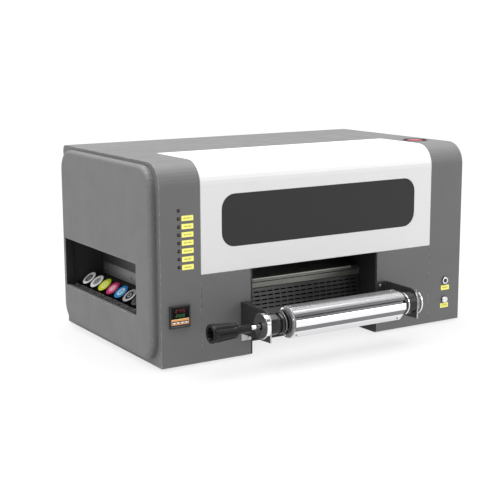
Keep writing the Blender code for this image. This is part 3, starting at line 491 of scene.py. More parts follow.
def sticker(piece, centre_x, centre_z, width, height, marks):
    """A blank-faced yellow label with a row of plain dashes."""
    gap = 1.3
    where = on_front(0.0, centre_x, centre_z)
    piece.slab(rounded(width, height, 0.8, 3), where, 0.05, 0.22, 0)
    start = -(sum(marks) + gap * (len(marks) - 1)) / 2
    for length in marks:
        dash = rounded(length, height * 0.24, 0.3, 2, (start + length / 2, 0.0))
        piece.slab(dash, where, 0.2, 0.28, 1)
        start += length + gap


def labels():
    stickers = Piece("control_labels", "chassis", None, LABEL, LABEL_MARK)
    patterns = ((6, 7, 4), (9, 7), (5, 5, 5), (7, 10), (8, 4, 4), (6, 9), (10, 6))
    for index, marks in enumerate(patterns):
        sticker(stickers, 65.3, lamp_height(index + 1) + 0.1 - 0.2 * index, *LABEL_SIZE, marks)
    sticker(stickers, 776.8, 82.2, 25.6, 11.6, (5, 7, 3))
    sticker(stickers, 775.6, 38.2, 25.0, 11.2, (6, 4, 4))
    stickers.done()


SEGMENTS = {"0": "abcdef", "1": "bc", "2": "abged", "3": "abgcd", "4": "fgbc", "5": "afgcd", "6": "afgedc",
            "7": "abc", "8": "abcdefg", "9": "abcdfg"}


def digits(piece, text, left, bottom, width, height, pitch, depth, material):
    """Seven-segment figures on a front face."""
    bar = height * 0.13
    half = height / 2
    right = width - bar
    upper, lower = (half + bar * 0.3, height - bar * 0.6), (bar * 0.6, half - bar * 0.3)
    shapes = {"a": (bar, height - bar, right, height), "g": (bar, half - bar / 2, right, half + bar / 2),
              "d": (bar, 0.0, right, bar), "f": (0.0, upper[0], bar, upper[1]),
              "b": (right, upper[0], width, upper[1]), "e": (0.0, lower[0], bar, lower[1]),
              "c": (right, lower[0], width, lower[1])}
    for index, figure in enumerate(text):
        where = on_front(0.0, left + pitch * index, bottom)
        for segment in SEGMENTS[figure]:
            u0, v0, u1, v1 = shapes[segment]
            piece.slab([(u0, v0), (u1, v0), (u1, v1), (u0, v1)], where, depth, depth + 0.12, material)


def controller_face():
    """Bezel, display, overlay band and status dots of the 48 mm instrument."""
    low_x, high_x = CONTROL_X
    low_z, high_z = CONTROL_Z
    face = Piece("controller_face", "chassis", "black_plastic", BLACK_PLASTIC, DISPLAY, RED_DIGIT,
                 GREEN_DIGIT, PEACH, PEACH_LIGHT, DARK_METAL)
    size = high_x - low_x
    border = 2.9
    back = -3.9
    left, right = low_x + border, high_x - border
    front = on_front(0.0, (low_x + high_x) / 2, (low_z + high_z) / 2)
    opening = rounded(size - 5.6, size - 5.6, 0.8, 5)
    face.slab(rounded(size, size, 1.6, 5), front, 4.0, 5.2, 0, hole=opening, soften=0.35)
    bands = ((-4.3, 104.6, high_z - border, 1), (-4.34, 99.8, 103.4, 4), (-4.36, 103.4, 104.6, 5),
             (-4.34, 92.2, 94.2, 4), (-4.25, low_z + border, 92.2, 6))
    for out, bottom, top, paint in bands:
        face.block((left, out, bottom), (right, back, top), paint)
    digits(face, "245", 31.5, 117.8, 5.8, 8.0, 8.6, 4.28, 2)
    digits(face, "2500", 32.6, 108.4, 4.1, 6.0, 5.7, 4.28, 3)
    for step in range(5):
        centre = (left + 2.4, -4.3, 108.6 + 4.4 * step)
        face.turn([(0.0, 0.12), (0.6, 0.08), (0.6, 0.0), (0.0, 0.0)], centre, FRONT, 6, sides=12)
    key_gap = 4.2
    edges = [left] + [KEY_X + KEY_PITCH * i for i in range(KEY_COUNT)] + [right]
    for i in range(KEY_COUNT + 1):
        x0 = edges[i] + (0.0 if i == 0 else key_gap)
        x1 = edges[i + 1] - (0.0 if i == KEY_COUNT else key_gap)
        face.block((x0, -4.34, 94.2), (x1, back, 99.8), 4)
    face.done()


def keys():
    for index in range(KEY_COUNT):
        number = str(index + 1)
        key = Piece("key_cap_" + number, "key_" + number, "white_plastic", WHITE_PLASTIC)
        where = on_front(0.0, KEY_X + KEY_PITCH * index, 96.2)
        key.slab(rounded(6.4, 3.2, 1.2, 4), where, 2.0, 4.8, 0, soften=0.35)
        key.done(replaces=("controller_key_" + number,))


def push_buttons():
    sizes = (("start_button", START_Z, 4.8, 4.4, "black_plastic", BLACK_PLASTIC),
             ("pause_button", PAUSE_Z, 7.2, 6.8, "white_plastic", WHITE_PLASTIC))
    for name, height, bore, reach, slot, cap_finish in sizes:
        origin = (BUTTON_X, 0.0, height)
        bezel = Piece(name + "_ring", "chassis", "chrome", CHROME, BLACK_PLASTIC)
        ring = [(bore, -22.0), (bore, 2.9), (bore + 0.3, 3.6), ((bore + 8.6) / 2, 4.1), (8.1, 3.6),
                (8.6, 2.8), (8.6, 0.4), (7.8, 0.3), (7.8, -24.0), (0.0, -24.0), (0.0, -22.0)]
        bezel.turn(ring, origin, FRONT, 0)
        bezel.turn([(8.2, 0.02), (8.9, 0.02), (8.9, 3.0), (8.2, 3.3)], origin, FRONT, 1, loop=True)
        bezel.done(replaces=(name + "_bezel",))
        cap = Piece(name + "_plunger", name, slot, cap_finish)
        dish = [(0.0, 3.9), (reach * 0.6, 4.1), (reach * 0.86, 4.5), (reach - 0.2, 4.3), (reach, 3.8),
                (reach, -16.0), (0.0, -16.0)]
        cap.turn(dish, origin, FRONT, 0)
        cap.done(replaces=(name + "_cap",))


def emergency_stop():
    origin = (ESTOP_X, ESTOP_Y, HEIGHT)
    cup = Piece("estop_collar", "chassis", "black_plastic", BLACK_PLASTIC)
    ring = [(0.0, -27.0), (28.0, -27.0), (28.0, 0.3), (30.1, 0.3), (30.5, 0.8), (30.1, 1.4), (29.0, 1.6),
            (27.2, 1.5), (26.6, 0.9), (26.6, -24.0), (0.0, -24.0)]
    cup.turn(ring, origin, TOP, 0, sides=64)
    cup.done(replaces=("estop_cup",))
    head = Piece("estop_mushroom", "estop", "red_plastic", RED_PLASTIC, DARK_HOLE)
    dome = [(0.0, -19.0), (10.0, -19.0), (10.0, -13.0), (24.2, -11.4), (25.0, -10.6), (25.0, -4.2),
            (24.4, -2.2), (22.4, -0.6), (17.0, 0.6), (10.0, 1.2), (5.0, 1.35), (0.0, 1.4)]

    def lobes(angle, distance):
        return 1.0 - 0.02 * (0.5 + 0.5 * math.cos(12 * angle)) ** 2 if -12 <= distance <= 0 else 1.0
    head.turn(dome, origin, TOP, 0, sides=96, ripple=lobes)
    head.done(smooth=50, replaces=("estop_head",))


# ---- ink bay

CAP_PAINTS = (
    ("cap_white", (236, 236, 238), (74, 74, 76), (150, 150, 152)),
    ("cap_clear", (230, 230, 232), (156, 156, 160), (96, 96, 98)),
    ("cap_yellow", (204, 214, 40), (236, 240, 150), (214, 222, 90)),
    ("cap_magenta", (196, 44, 100), (232, 150, 180), (240, 214, 224)),
    ("cap_cyan", (40, 128, 192), (190, 228, 244), (60, 140, 196)),
    ("cap_silver", (206, 206, 208), (30, 30, 32), (220, 220, 222)),
    ("cap_grey", (70, 70, 72), (50, 50, 52), (90, 90, 92)),
)


def ink_caps():
    """Knurled dark caps, each with a coloured ring and disc let into its face."""
    def knurl(angle, distance):
        return 1.0 - 0.05 * (0.5 + 0.5 * math.cos(36 * angle)) if -12.8 < distance < -1.8 else 1.0
    skirt = [(14.2, -3.5), (14.2, -CAP_LENGTH), (18.9, -CAP_LENGTH)]
    skirt += [(CAP_RADIUS, distance) for distance in (-13.2, -12.6, -9.0, -5.0, -2.4, -1.8)]
    skirt += [(19.3, -1.3), (18.9, -0.8), (0.0, -0.8), (0.0, -3.5)]
    ring = [(11.6, -0.9), (19.2, -0.9), (19.1, -0.4), (18.2, 0.0), (12.4, 0.0), (11.8, -0.2)]
    disc = [(0.0, -0.8), (11.5, -0.8), (11.4, -0.32), (6.4, -0.3), (0.0, -0.3)]
    mark = [(3.4, -0.34), (6.2, -0.34), (6.0, -0.12), (3.6, -0.12)]
    for index, (slot, *colours) in enumerate(CAP_PAINTS):
        name = "ink_cap_" + str(index + 1)
        metallic = 0.5 if slot == "cap_silver" else 0.0
        paints = [finish(name + part, colour, 0.36, metallic, 0.05, 8, 0.8, 0.008, 0.3)
                  for part, colour in zip(("_ring", "_disc", "_mark"), colours)]
        cap = Piece(name + "_cover", "cap_" + str(index + 1), slot, *paints, CAP_BODY)
        origin = (CAP_TOP[0], CAP_FIRST_Y - CAP_PITCH * index, CAP_TOP[1])
        cap.turn(skirt, origin, CAP_AXIS, 3, sides=144, ripple=knurl)
        cap.turn(ring, origin, CAP_AXIS, 0, sides=72, loop=True)
        cap.turn(disc, origin, CAP_AXIS, 1, sides=48)
        cap.turn(mark, origin, CAP_AXIS, 2, sides=40, loop=True)
        cap.done(replaces=(name,))


def ink_bay():
    """Lining of the side window: black return, inner plate, cable cover and the rail before the caps."""
    bay = Piece("ink_bay_lining", "chassis", "black_plastic", BAY_PLATE, BAY_UPPER, CAP_BODY, STEEL,
                DARK_HOLE, DARK_METAL)
    bay.slab(rounded(318.0, 29.0, 1.0, 3), on_left(90.9, 308.0, 130.0), 0.1, 6.0, 0, soften=0.3)
    bay.slab(rounded(398.0, 78.0, 2.0, 3), on_left(90.9, 265.0, 184.8), 0.1, 8.0, 1, soften=0.6)
    for low, high, paint, soften in (
            ((-15.4, 456.4, 99.6), (2.8, 457.8, 213.0), 2, 0.0),
            ((-15.4, 82.2, 99.6), (2.8, 82.8, 213.0), 2, 0.0),
            ((3.5, 66.0, 88.0), (9.2, 464.0, 101.5), 2, 0.8),
            ((-8.0, 83.0, 98.7), (3.6, 457.0, 100.3), 2, 0.4),
            ((-2.4, 90.0, 100.3), (-1.4, 436.0, 101.1), 5, 0.2),
            ((4.0, 90.0, 101.5), (5.0, 440.0, 102.4), 5, 0.2)):
        bay.block(low, high, paint, soften)
    for index in range(CAP_COUNT + 1):
        y = CAP_FIRST_Y + CAP_PITCH / 2 - CAP_PITCH * index
        bay.block((3.0, y - 2.0, 86.0), (24.0, y + 2.0, 97.0), 2, soften=0.6)
        bay.block((-3.6, y - 1.2, 100.3), (4.2, y + 1.2, 101.8), 2, soften=0.3)
    for y in (170.0, 308.0, 452.0):
        bay.screw((84.9, y, 130.0), LEFT, 2.6, 1.4, 3, 4)
    bay.turn([(0.0, 1.2), (1.6, 1.0), (2.2, 0.0), (0.0, 0.0)], (6.4, 446.0, 101.5), TOP, 3, sides=16)
    bay.done()


# ---- throat

def apron():
    """Curved guide sheet with rows of long slots, and a near-black sheet behind them as painted shade seen
    through the slots.
    """
    slot_half, slot_radius = 6.1, 1.65
    pitch_x, pitch_angle = 18.0, 3.95
    top_edge, first_angle, low_edge = 160.5, 164.2, 205.0
    rows, low_bands = 5, 6
    low, high = THROAT_X
    columns = int((high - low) // pitch_x)
    left = low + 3.0
    shape = bmesh.new()
    centre_y, centre_z = APRON_CENTRE

    def point(x, angle):
        y, z = polar(APRON_RADIUS, angle)
        return shape.verts.new((x, centre_y + y, centre_z + z))

    def patch(x0, x1, upper, lower):
        shape.faces.new((point(x0, upper), point(x1, upper), point(x1, lower), point(x0, lower)))

    degree = 180 / (math.pi * APRON_RADIUS)
    tall = pitch_angle / degree / 2
    wide = pitch_x / 2
    cap = slot_radius * math.sqrt(0.5)
    end = slot_half + slot_radius
    inner = [(slot_half, -slot_radius), (slot_half + cap, -cap), (end, 0), (slot_half + cap, cap),
             (slot_half, slot_radius), (0, slot_radius)]
    outer = [(slot_half, -tall), (wide, -tall), (wide, 0), (wide, tall), (slot_half, tall), (0, tall)]
    inner += [(-u, -v) for u, v in inner]
    outer += [(-u, -v) for u, v in outer]
    breaks = [low]
    for column in range(columns):
        x = left + pitch_x * (column + 0.5)
        breaks += [x - wide, x - slot_half, x, x + slot_half]
        for row in range(rows):
            middle = first_angle + pitch_angle * row
            bridge(shape, *([point(x + u, middle + v * degree) for u, v in loop] for loop in (outer, inner)))
    breaks += [left + pitch_x * columns, high]
    top_angle = first_angle - pitch_angle / 2
    low_angle = first_angle + pitch_angle * (rows - 0.5)
    band = (low_edge - low_angle) / low_bands
    bands = [(top_edge, top_angle)]
    bands += [(low_angle + band * k, low_angle + band * (k + 1)) for k in range(low_bands)]
    for upper, lower in bands:
        for x0, x1 in zip(breaks, breaks[1:]):
            patch(x0, x1, upper, lower)
    for x0, x1 in (breaks[:2], breaks[-2:]):
        for row in range(rows * 2):
            upper = top_angle + pitch_angle * row / 2
            patch(x0, x1, upper, upper + pitch_angle / 2)
    bmesh.ops.remove_doubles(shape, verts=shape.verts, dist=0.02)
    bmesh.ops.recalc_face_normals(shape, faces=shape.faces)
    front = [f for f in shape.faces if f.normal.y > 0]
    if len(front) * 2 > len(shape.faces):
        bmesh.ops.reverse_faces(shape, faces=shape.faces)
    bmesh.ops.solidify(shape, geom=shape.faces, thickness=APRON_SHEET)
    sheet = Piece("slotted_apron", "chassis", "black_sheet", SLOTTED, DARK_HOLE)
    sheet.take(shape, 0)
    # A near-black sheet behind the slots: painted shade seen through them.
    shade_sheet = bmesh.new()
    back_radius = APRON_RADIUS - APRON_SHEET - 3.0
    angles = [162.0 + 3.0 * k for k in range(15)]
    profile = [polar(back_radius, a) for a in angles] + [polar(back_radius - 1.0, a) for a in angles[::-1]]
    bridge(shade_sheet, *([shade_sheet.verts.new((x, centre_y + y, centre_z + z)) for y, z in profile]
                      for x in (low + 0.5, high - 0.5)))
    sheet.take(shade_sheet, 1)
    sheet.done(replaces=("film_apron",))


def throat_details():
    """Edge strips on the frame plates, a sensor eye, the platen's suction holes and its stepped rail."""
    low, high = THROAT_X
    trim = Piece("throat_trim", "chassis", "machined_aluminium", MACHINED, DARK_HOLE, STEEL)
    for x0, x1 in ((219.6, 223.9), (562.7, 566.9)):
        trim.block((x0, 90.8, 6.5), (x1, 91.8, 145.0), 0, soften=0.3)
    eye = [(0.0, 0.5), (2.4, 0.5), (3.0, 0.0), (0.0, 0.0)]
    trim.turn(eye, (562.4, 150.0, 160.0), LEFT, 1, sides=20)
    # Suction holes as flat dark discs: painted shade.
    hole = [(0.0, 0.06), (1.2, 0.06), (1.2, 0.0), (0.0, 0.0)]
    for row in range(4):
        for column in range(22):
            trim.turn(hole, (low + 16.0 + 14.6 * column, 90.0 + 38.0 * row, 151.5), TOP, 1, sides=10)
    trim.done()
    rail = Piece("platen_rails", "chassis", "platen_aluminium", RAIL, DARK_HOLE, RAIL_BRIGHT)
    start, back, end = low + 0.4, 62.0, high - 26.0
    rail.block((start, 60.9, 131.6), (high - 44.0, back, 142.6), 0, soften=0.4)
    # The dark band between the rail's two faces: painted shade in the groove.
    rail.block((start, 61.4, 142.6), (high - 8.0, back, 144.4), 1)
    rail.block((start, 59.6, 144.4), (end, back, 149.6), 0, soften=0.8)
    # The top edge strip takes the lighter rail copy: painted highlight.
    rail.block((start, 60.6, 149.6), (end, 68.0, 152.2), 2, soften=0.6)
    rail.done()


# ---- take-up mandrel

def knob():
    """Fluted hand knob on its inner rod, and the chrome drawbar outside the bracket."""
    piece = Piece("fluted_knob", "knob", "black_plastic", KNOB_PLASTIC, DARK_HOLE, CHROME)
    origin = (KNOB_X, TAKEUP_Y, TAKEUP_Z)
    length = [(0.0, 14.0), (12.6, 14.0), (13.6, 1.0), (14.6, 0.0), (18.6, 0.0), (19.8, 0.7), (20.4, 2.2),
              (20.5, 5.0), (20.3, 10.0), (19.6, 22.0), (18.8, 34.0), (18.0, 46.0), (17.5, 54.0), (17.0, 58.0),
              (15.0, 61.0), (11.5, 62.6), (10.0, 64.0), (10.0, 94.0), (9.4, 95.0), (5.1, 95.0), (5.1, 78.0),
              (0.0, 78.0)]
    flute_start, flute_end, run_out = 4.0, 57.0, 5.0

    def flutes(angle, distance):
        if not flute_start < distance < flute_end:
            return 1.0
        fade = min(1.0, (distance - flute_start) / run_out, (flute_end - distance) / run_out)
        return 1.0 - 0.15 * fade * (0.5 + 0.5 * math.cos(9 * angle)) ** 3
    detailed = []
    for first, second in zip(length, length[1:]):
        detailed.append(first)
        if first[1] >= 2.0 and second[1] <= 58.0 and second[1] > first[1]:
            detailed.append(((first[0] + second[0]) / 2, (first[1] + second[1]) / 2))
    detailed.append(length[-1])
    piece.turn(detailed, origin, RIGHT, 0, sides=120, ripple=flutes)
    # A dark disc on the floor of the knob's bore: painted shade.
    piece.turn([(0.0, 13.2), (12.0, 13.2), (12.0, 13.9), (0.0, 13.9)], origin, RIGHT, 1, sides=48)
    rod = [(0.0, 78.0), (3.1, 78.0), (3.1, 197.0), (2.6, 197.8), (0.0, 197.8)]
    piece.turn(rod, origin, RIGHT, 2, sides=24)
    piece.done(smooth=40, replaces=("takeup_knob", "takeup_drawbar"))
    bar = Piece("knob_drawbar", "knob", "chrome", CHROME)
    groove = [(0.0, 0.0), (4.2, 0.0), (4.8, 0.8), (4.8, 20.0), (4.3, 20.4), (4.3, 22.0), (4.8, 22.4),
              (4.8, 118.9), (4.2, 119.7), (0.0, 119.7)]
    bar.turn(groove, (DRAWBAR_X, TAKEUP_Y, TAKEUP_Z), RIGHT, 0, sides=32)
    bar.done(replaces=("takeup_drawbar",))


def flats(count, depth):
    """Ripple that planes flats on a round bar."""
    def ripple(angle, distance):
        step = 2 * math.pi / count
        offset = (angle + step / 2) % step - step / 2
        return min(1.0, (1.0 - depth) / math.cos(offset))
    return ripple


def around(radius, angle):
    """A point round the take-up shaft, as (y, z)."""
    y, z = polar(radius, angle)
    return TAKEUP_Y + y, TAKEUP_Z + z


def mandrel():
    """Hub, clamp collar, core and end flange on one shaft; profile distances are from the hub's left end."""
    core = Piece("mandrel_hub", "mandrel", "black_plastic", BLACK_ANODISED, CHROME, DARK_HOLE, END_PLATE,
                 CORE_METAL)
    bore = 5.4

    def lathe(profile, paint=0, sides=48, **more):
        core.turn(profile, (HUB_X, TAKEUP_Y, TAKEUP_Z), RIGHT, paint, sides, **more)
    lathe([(bore, 0.0), (10.0, 0.0), (10.0, 13.3), (bore, 13.3)], loop=True)
    lathe([(bore, 13.3), (20.5, 13.3), (22.8, 14.6), (23.5, 16.5), (23.5, 33.0), (22.4, 34.0), (19.0, 34.6),
           (19.0, 40.0), (23.0, 40.6), (23.5, 41.6), (23.5, 46.0), (22.6, 47.0), (18.0, 47.4), (18.0, 55.2),
           (bore, 55.2)], sides=96, ripple=flats(6, 0.05), loop=True)
    lathe([(19.0, 48.6), (23.6, 48.6), (24.2, 49.2), (24.2, 50.4), (23.6, 51.0), (19.0, 51.0)], 4, 64,
          loop=True)
    lathe([(12.0, 55.9), (25.0, 55.9), (26.0, 56.8), (26.0, 60.4), (25.0, 61.2), (12.0, 61.2)], 0, 64,
          loop=True)
    lathe([(bore, 51.0), (17.0, 51.0), (17.0, 66.0), (bore, 66.0)], loop=True)
    pin = [(0.0, 5.6), (2.4, 5.3), (4.4, 4.0), (5.4, 2.0), (5.4, 0.2), (4.4, -1.4), (3.6, -2.4), (3.6, -7.0),
           (0.0, -7.0)]
    core.turn(pin, (243.0, *around(27.0, HUB_PIN)), (0, *polar(1.0, HUB_PIN)), 1, sides=28)
    # The dimples are shallow dark discs: painted shade.
    dimple = [(0.0, 0.5), (3.8, 0.5), (4.4, 0.0), (0.0, 0.0)]
    for angle in (143, 263, 23):
        core.turn(dimple, (241.0, *around(19.5, angle)), LEFT, 2, sides=24)
        core.screw((241.1, *around(20.5, angle - 52)), LEFT, 2.2, 1.8, 4, 2)
    lathe([(9.0, 63.2), (33.0, 63.2), (34.0, 63.9), (34.0, 65.4), (33.4, 65.9), (9.0, 65.9)], 3, 96,
          ripple=flats(3, 0.05), loop=True)
    for angle in (158, 278, 38):
        core.screw((248.2, *around(29.0, angle)), LEFT, 2.2, 1.6, 1, 2)
    lathe([(0.0, 77.0), (bore, 77.0), (bore, 66.0), (25.0, 66.0), (26.0, 67.0), (26.0, 363.4), (25.0, 364.2),
           (0.0, 364.2)], 4, 64)
    lathe([(0.0, 364.2), (29.0, 364.2), (30.0, 365.2), (30.0, 370.0), (29.0, 371.0), (25.6, 371.0),
           (25.0, 372.0), (25.0, 403.0), (24.0, 404.0), (10.0, 404.0), (10.0, 416.0), (9.0, 417.3),
           (0.0, 417.3)], 0, 64)
    lathe([(25.05, 378.0), (25.6, 378.4), (25.6, 381.0), (25.05, 381.4)], 1, loop=True)
    core.done(smooth=30, replaces=("mandrel_core",))


def leaf_section(middle):
    """Outline of a leaf seen along the shaft, with the material of the face that follows each point; the
    non-chrome materials are painted reflections and painted shade.
    """
    flat, half = polar(LEAF_RADIUS, LEAF_FLAT)
    half -= 0.4
    outer = []
    for offset in LEAF_STEPS:
        outer.append((*polar(LEAF_RADIUS - (0.6 if offset == -LEAF_EDGE else 0.0), offset), 0))
    # Grey and white halves of the flat, mid and dark faces on the far side and dark inner faces: painted
    # reflections and painted shade.
    returning = [(u, -v, 3 if offset > -42.0 else 4) for (u, v, _), offset in zip(outer, LEAF_STEPS)]
    outer[-1] = (flat, -half, 1)
    outer += [(flat, -1.5, 0), (flat + 0.8, -0.8, 0), (flat + 0.8, 0.6, 0), (flat, 1.4, 2), (flat, half, 3)]
    outer += returning[-2::-1]
    inner = [(*polar(LEAF_RADIUS - LEAF_WALL, offset), 4)
             for offset in (LEAF_EDGE, 46.0, 38.0, 30.0, -30.0, -38.0, -46.0, -LEAF_EDGE)]
    cosine, sine = polar(1.0, middle)
    return [(TAKEUP_Y + u * cosine - v * sine, TAKEUP_Z + u * sine + v * cosine, paint)
            for u, v, paint in outer + inner]


def leaves():
    """Expanding leaves, each with an outer flat that carries four screws."""
    chamfer, narrowing = 0.8, 0.02
    low, high = LEAF_X
    stations = ((low, narrowing), (low + chamfer, 0), (high - chamfer, 0), (high, narrowing))
    flat = polar(LEAF_RADIUS, LEAF_FLAT)[0]
    for index, middle in enumerate(LEAF_MIDDLES):
        number = str(index + 1)
        leaf = Piece("chrome_leaf_" + number, "leaf_" + number, "chrome", CHROME, PAINTED_GREY_REFLECTION, PAINTED_WHITE_REFLECTION,
                     PAINTED_MID_REFLECTION, PAINTED_DARK_REFLECTION_AND_SHADE, STEEL, DARK_HOLE)
        part = bmesh.new()
        section = leaf_section(middle)
        ends = [[part.verts.new((x, y + (TAKEUP_Y - y) * inset, z + (TAKEUP_Z - z) * inset))
                 for y, z, _ in section] for x, inset in stations]
        for first, second in zip(ends, ends[1:]):
            for face, (_, _, paint) in zip(bridge(part, first, second), section):
                face.material_index = paint
        for ring in (ends[0], ends[-1]):
            part.faces.new(ring)
        leaf.take(part, None)
        axis = Vector((0, *polar(1.0, middle)))
        side = Vector((0, -axis.z, axis.y))
        for x in (low + 12.0, high - 12.0):
            for shift in (-11.0, 11.0):
                spot = Vector((x, TAKEUP_Y, TAKEUP_Z)) + axis * flat + side * shift
                leaf.screw(spot, axis, 2.3, 1.4, 5, 6)
        leaf.done(smooth=28, replaces=("mandrel_leaf_" + number,))


def bearings():
    """Shaft housings outside the brackets: bright turned side, dark flat face with two radial slots."""
    for name, low, axis, bore in (("left_bearing", 194.0, -1, 6.6), ("right_bearing", 593.3, 1, 10.8)):
        piece = Piece(name + "_ring", "chassis", "chrome", CHROME, BEARING_FACE, DARK_HOLE)
        origin, outward = (low, TAKEUP_Y, TAKEUP_Z), (axis, 0, 0)
        side = [(11.0, 0.0), (26.8, 0.0), (28.0, 1.2), (28.0, 8.6), (27.2, 9.5), (24.0, 9.6), (24.0, 8.8),
                (11.0, 8.8)]
        piece.turn(side, origin, outward, 0, sides=72, loop=True)
        if axis > 0:
            sleeve = [(12.0, 0.05), (28.1, 0.05), (28.1, 5.2), (12.0, 5.2)]
            piece.turn(sleeve, origin, RIGHT, 1, sides=72, loop=True)
        face = [(bore, 9.3), (27.0, 9.3), (27.0, 9.9), (26.4, 10.4), (bore + 0.6, 10.4), (bore, 9.9)]
        piece.turn(face, origin, outward, 1, sides=72, loop=True)
        ring = [(bore - 1.2, 9.4), (bore + 1.8, 9.4), (bore + 1.8, 10.5), (bore - 1.2, 10.3)]
        piece.turn(ring, origin, outward, 2, sides=40, loop=True)
        # The two radial slots are thin dark slabs: painted shade.
        for angle in (110.0, 290.0):
            dy, dz = polar(1.0, angle)
            where = Matrix(((0, 0, axis, low), (dy, -dz, 0, TAKEUP_Y), (dz, dy, 0, TAKEUP_Z), (0, 0, 0, 1)))
            piece.slab(rounded(10.0, 1.8, 0.8, 4, (20.4, 0.0)), where, 10.0, 10.46, 2)
        piece.done(replaces=(name,))


def bracket_side():
    """Outline of a bracket plate in (y, z)."""
    reach, corner, bottom, top = 118.0, 25.0, 50.0, 121.0
    points = [(-0.3, bottom), (-reach, bottom + 5.0)]
    for step in range(9):
        y, z = polar(corner, 180 - 90 * step / 8)
        points.append((-reach + corner + y, top - corner + z))
    points.append((-0.3, top))
    return points


def brackets():
    """Bent plates that carry the mandrel: dark sides, a painted highlight strip on the front edges and a
    screwed foot whose upper part is darkened as painted shadow.
    """
    along = Matrix(((0, 0, 1, 0), (1, 0, 0, 0), (0, 1, 0, 0), (0, 0, 0, 1)))
    sheet, top, step = 3.0, 121.0, 16.0
    for name, plate_x, foot_low, foot_high, bottom, lower_paint, shift in (
            ("left_bracket", 194.3, 194.8, 219.2, 34.0, 1, 3.0),
            ("right_bracket", 590.0, 562.0, 592.5, 50.0, 0, -3.0)):
        piece = Piece(name + "_plate", "chassis", "dark_metal", BRACKET_PAINT, BRACKET_EDGE, STEEL, DARK_HOLE)
        outline = bracket_side()
        piece.slab(outline, along, plate_x, plate_x + sheet, 0, soften=0.35)
        # A light strip on the plate's front edge: painted highlight.
        nose = outline[1:7]
        inset = [(y + 0.5, z - (0.0 if z < 97.0 else 0.3)) for y, z in nose]
        edge = [(y - 0.15, z + (0.0 if z < 97.0 else 0.1)) for y, z in nose]
        piece.slab(edge + inset[::-1], along, plate_x - 0.05, plate_x + sheet + 0.05, 1)
        # The foot's upper part is dark: painted shadow of the plate; the left foot's lower part shows its
        # light metal.
        piece.block((foot_low, -sheet, bottom + step), (foot_high, -0.15, top), 0, soften=0.4)
        piece.block((foot_low, -sheet, bottom), (foot_high, -0.15, bottom + step), lower_paint, soften=0.4)
        for z in (112.0, bottom + 7.0):
            piece.screw(((foot_low + foot_high) / 2 + shift, -sheet, z), FRONT, 3.0, 1.8, 2, 3)
        piece.done(replaces=(name,))


# ---- back, underside and roof

def rear_details():
    """Sunk screws, vents and the pins of the mains inlet."""
    back = Piece("rear_fittings", "chassis", "steel", STEEL, DARK_HOLE, BLACK_PLASTIC)
    # The screws' sockets are flat dark discs: painted shade.
    sunk = [(0.0, 0.04), (3.6, 0.03), (3.6, -0.6), (0.0, -0.6)]
    socket = [(0.0, 0.07), (1.6, 0.07), (1.6, 0.03), (0.0, 0.03)]
    spots = [(x, 418.0) for x in (112.0, 262.0, 410.5, 559.0, 709.0)]
    spots += [(x, z) for x in (112.0, 709.0) for z in (20.0, 215.0)]
    for x, z in spots:
        back.turn(sunk, (x, DEPTH, z), BACK, 0, sides=24)
        back.turn(socket, (x, DEPTH, z), BACK, 1, sides=6)
    # Vents are shallow dark slabs: painted shade.
    for centre in (180.0, 641.0):
        for row in range(10):
            back.slab(rounded(78.0, 4.0, 1.9, 4), on_back(DEPTH, centre, 262.0 + 9.5 * row), -0.3, 0.05, 1)
    well = DEPTH - 17.0
    for x, z in ((-5.5, 0.0), (5.5, 0.0), (0.0, 3.6)):
        back.block((INLET_X + x - 1.0, well, INLET_Z + z - 2.4),
                   (INLET_X + x + 1.0, well + 9.0, INLET_Z + z + 2.4), 0, soften=0.3)
    back.slab(rounded(50.0, 30.0, 3.0, 5), on_back(DEPTH, INLET_X, INLET_Z), -0.4, 0.05, 2,
              hole=rounded(27.0, 19.0, 2.0, 5))
    head = [(0.0, 0.08), (2.4, 0.07), (2.4, 0.0), (0.0, 0.0)]
    for x in (-20.0, 20.0):
        back.turn(head, (INLET_X + x, DEPTH, INLET_Z), BACK, 0, sides=20)
    back.done()


def underside():
    base = Piece("base_screws", "chassis", "steel", STEEL, DARK_HOLE)
    spots = [(x, 470.0) for x in (20.0, 150.0, 300.0, 480.0, 640.0, 800.0)]
    spots += [(x, 110.0) for x in (20.0, 110.0, 700.0, 800.0)]
    for x, y in spots:
        base.screw((x, y, 0.3), BOTTOM, 3.2, 1.8, 0, 1)
    base.done()


# ---- print engine under the hood

def engine_details():
    fins = Piece("lamp_fins", "carriage", "machined_aluminium", MACHINED, DARK_HOLE, BLACK_PLASTIC)
    for index in range(9):
        y = 169.0 + 7.0 * index
        fins.block((549.0, y, 226.0), (583.0, y + 2.2, 233.0), 0, soften=0.3)
    fins.block((549.0, 166.5, 164.8), (583.0, 228.5, 166.0), 1, soften=0.2)
    fins.done()
    lid = Piece("carriage_lid", "carriage", "black_plastic", BLACK_PLASTIC, STEEL, DARK_HOLE)
    lid.slab(rounded(124.0, 84.0, 5.0, 5, (650.0, 195.5)), on_top(235.0), 0.1, 3.0, 0, soften=0.8)
    for x in (596.0, 704.0):
        for y in (162.0, 229.0):
            lid.screw((x, y, 238.0), TOP, 2.6, 1.4, 1, 2)
    lid.block((640.0, 149.2, 196.0), (660.0, 150.0, 206.0), 1, soften=0.3)
    lid.done()


# ---- studio

CAMERA_POSITION = (-1.4807, -2.2471, 0.7028)
CAMERA_HEADING = 31.93
CAMERA_DROP = 10.81
CAMERA_ROLL = -0.177
CAMERA_LENS = 82.79
SUN_STRENGTH, SUN_SPREAD, SUN_TILT = 6.3, 75.0, (-8.0, -4.0)
SKY_BAND, SKY_STRENGTH = (0.10, 0.34), (1.15, 0.19)
FLOOR_STEP, FLOOR_GROWTH, FLOOR_RINGS, FLOOR_SIDES = 1.6, 1.9, 6, 96


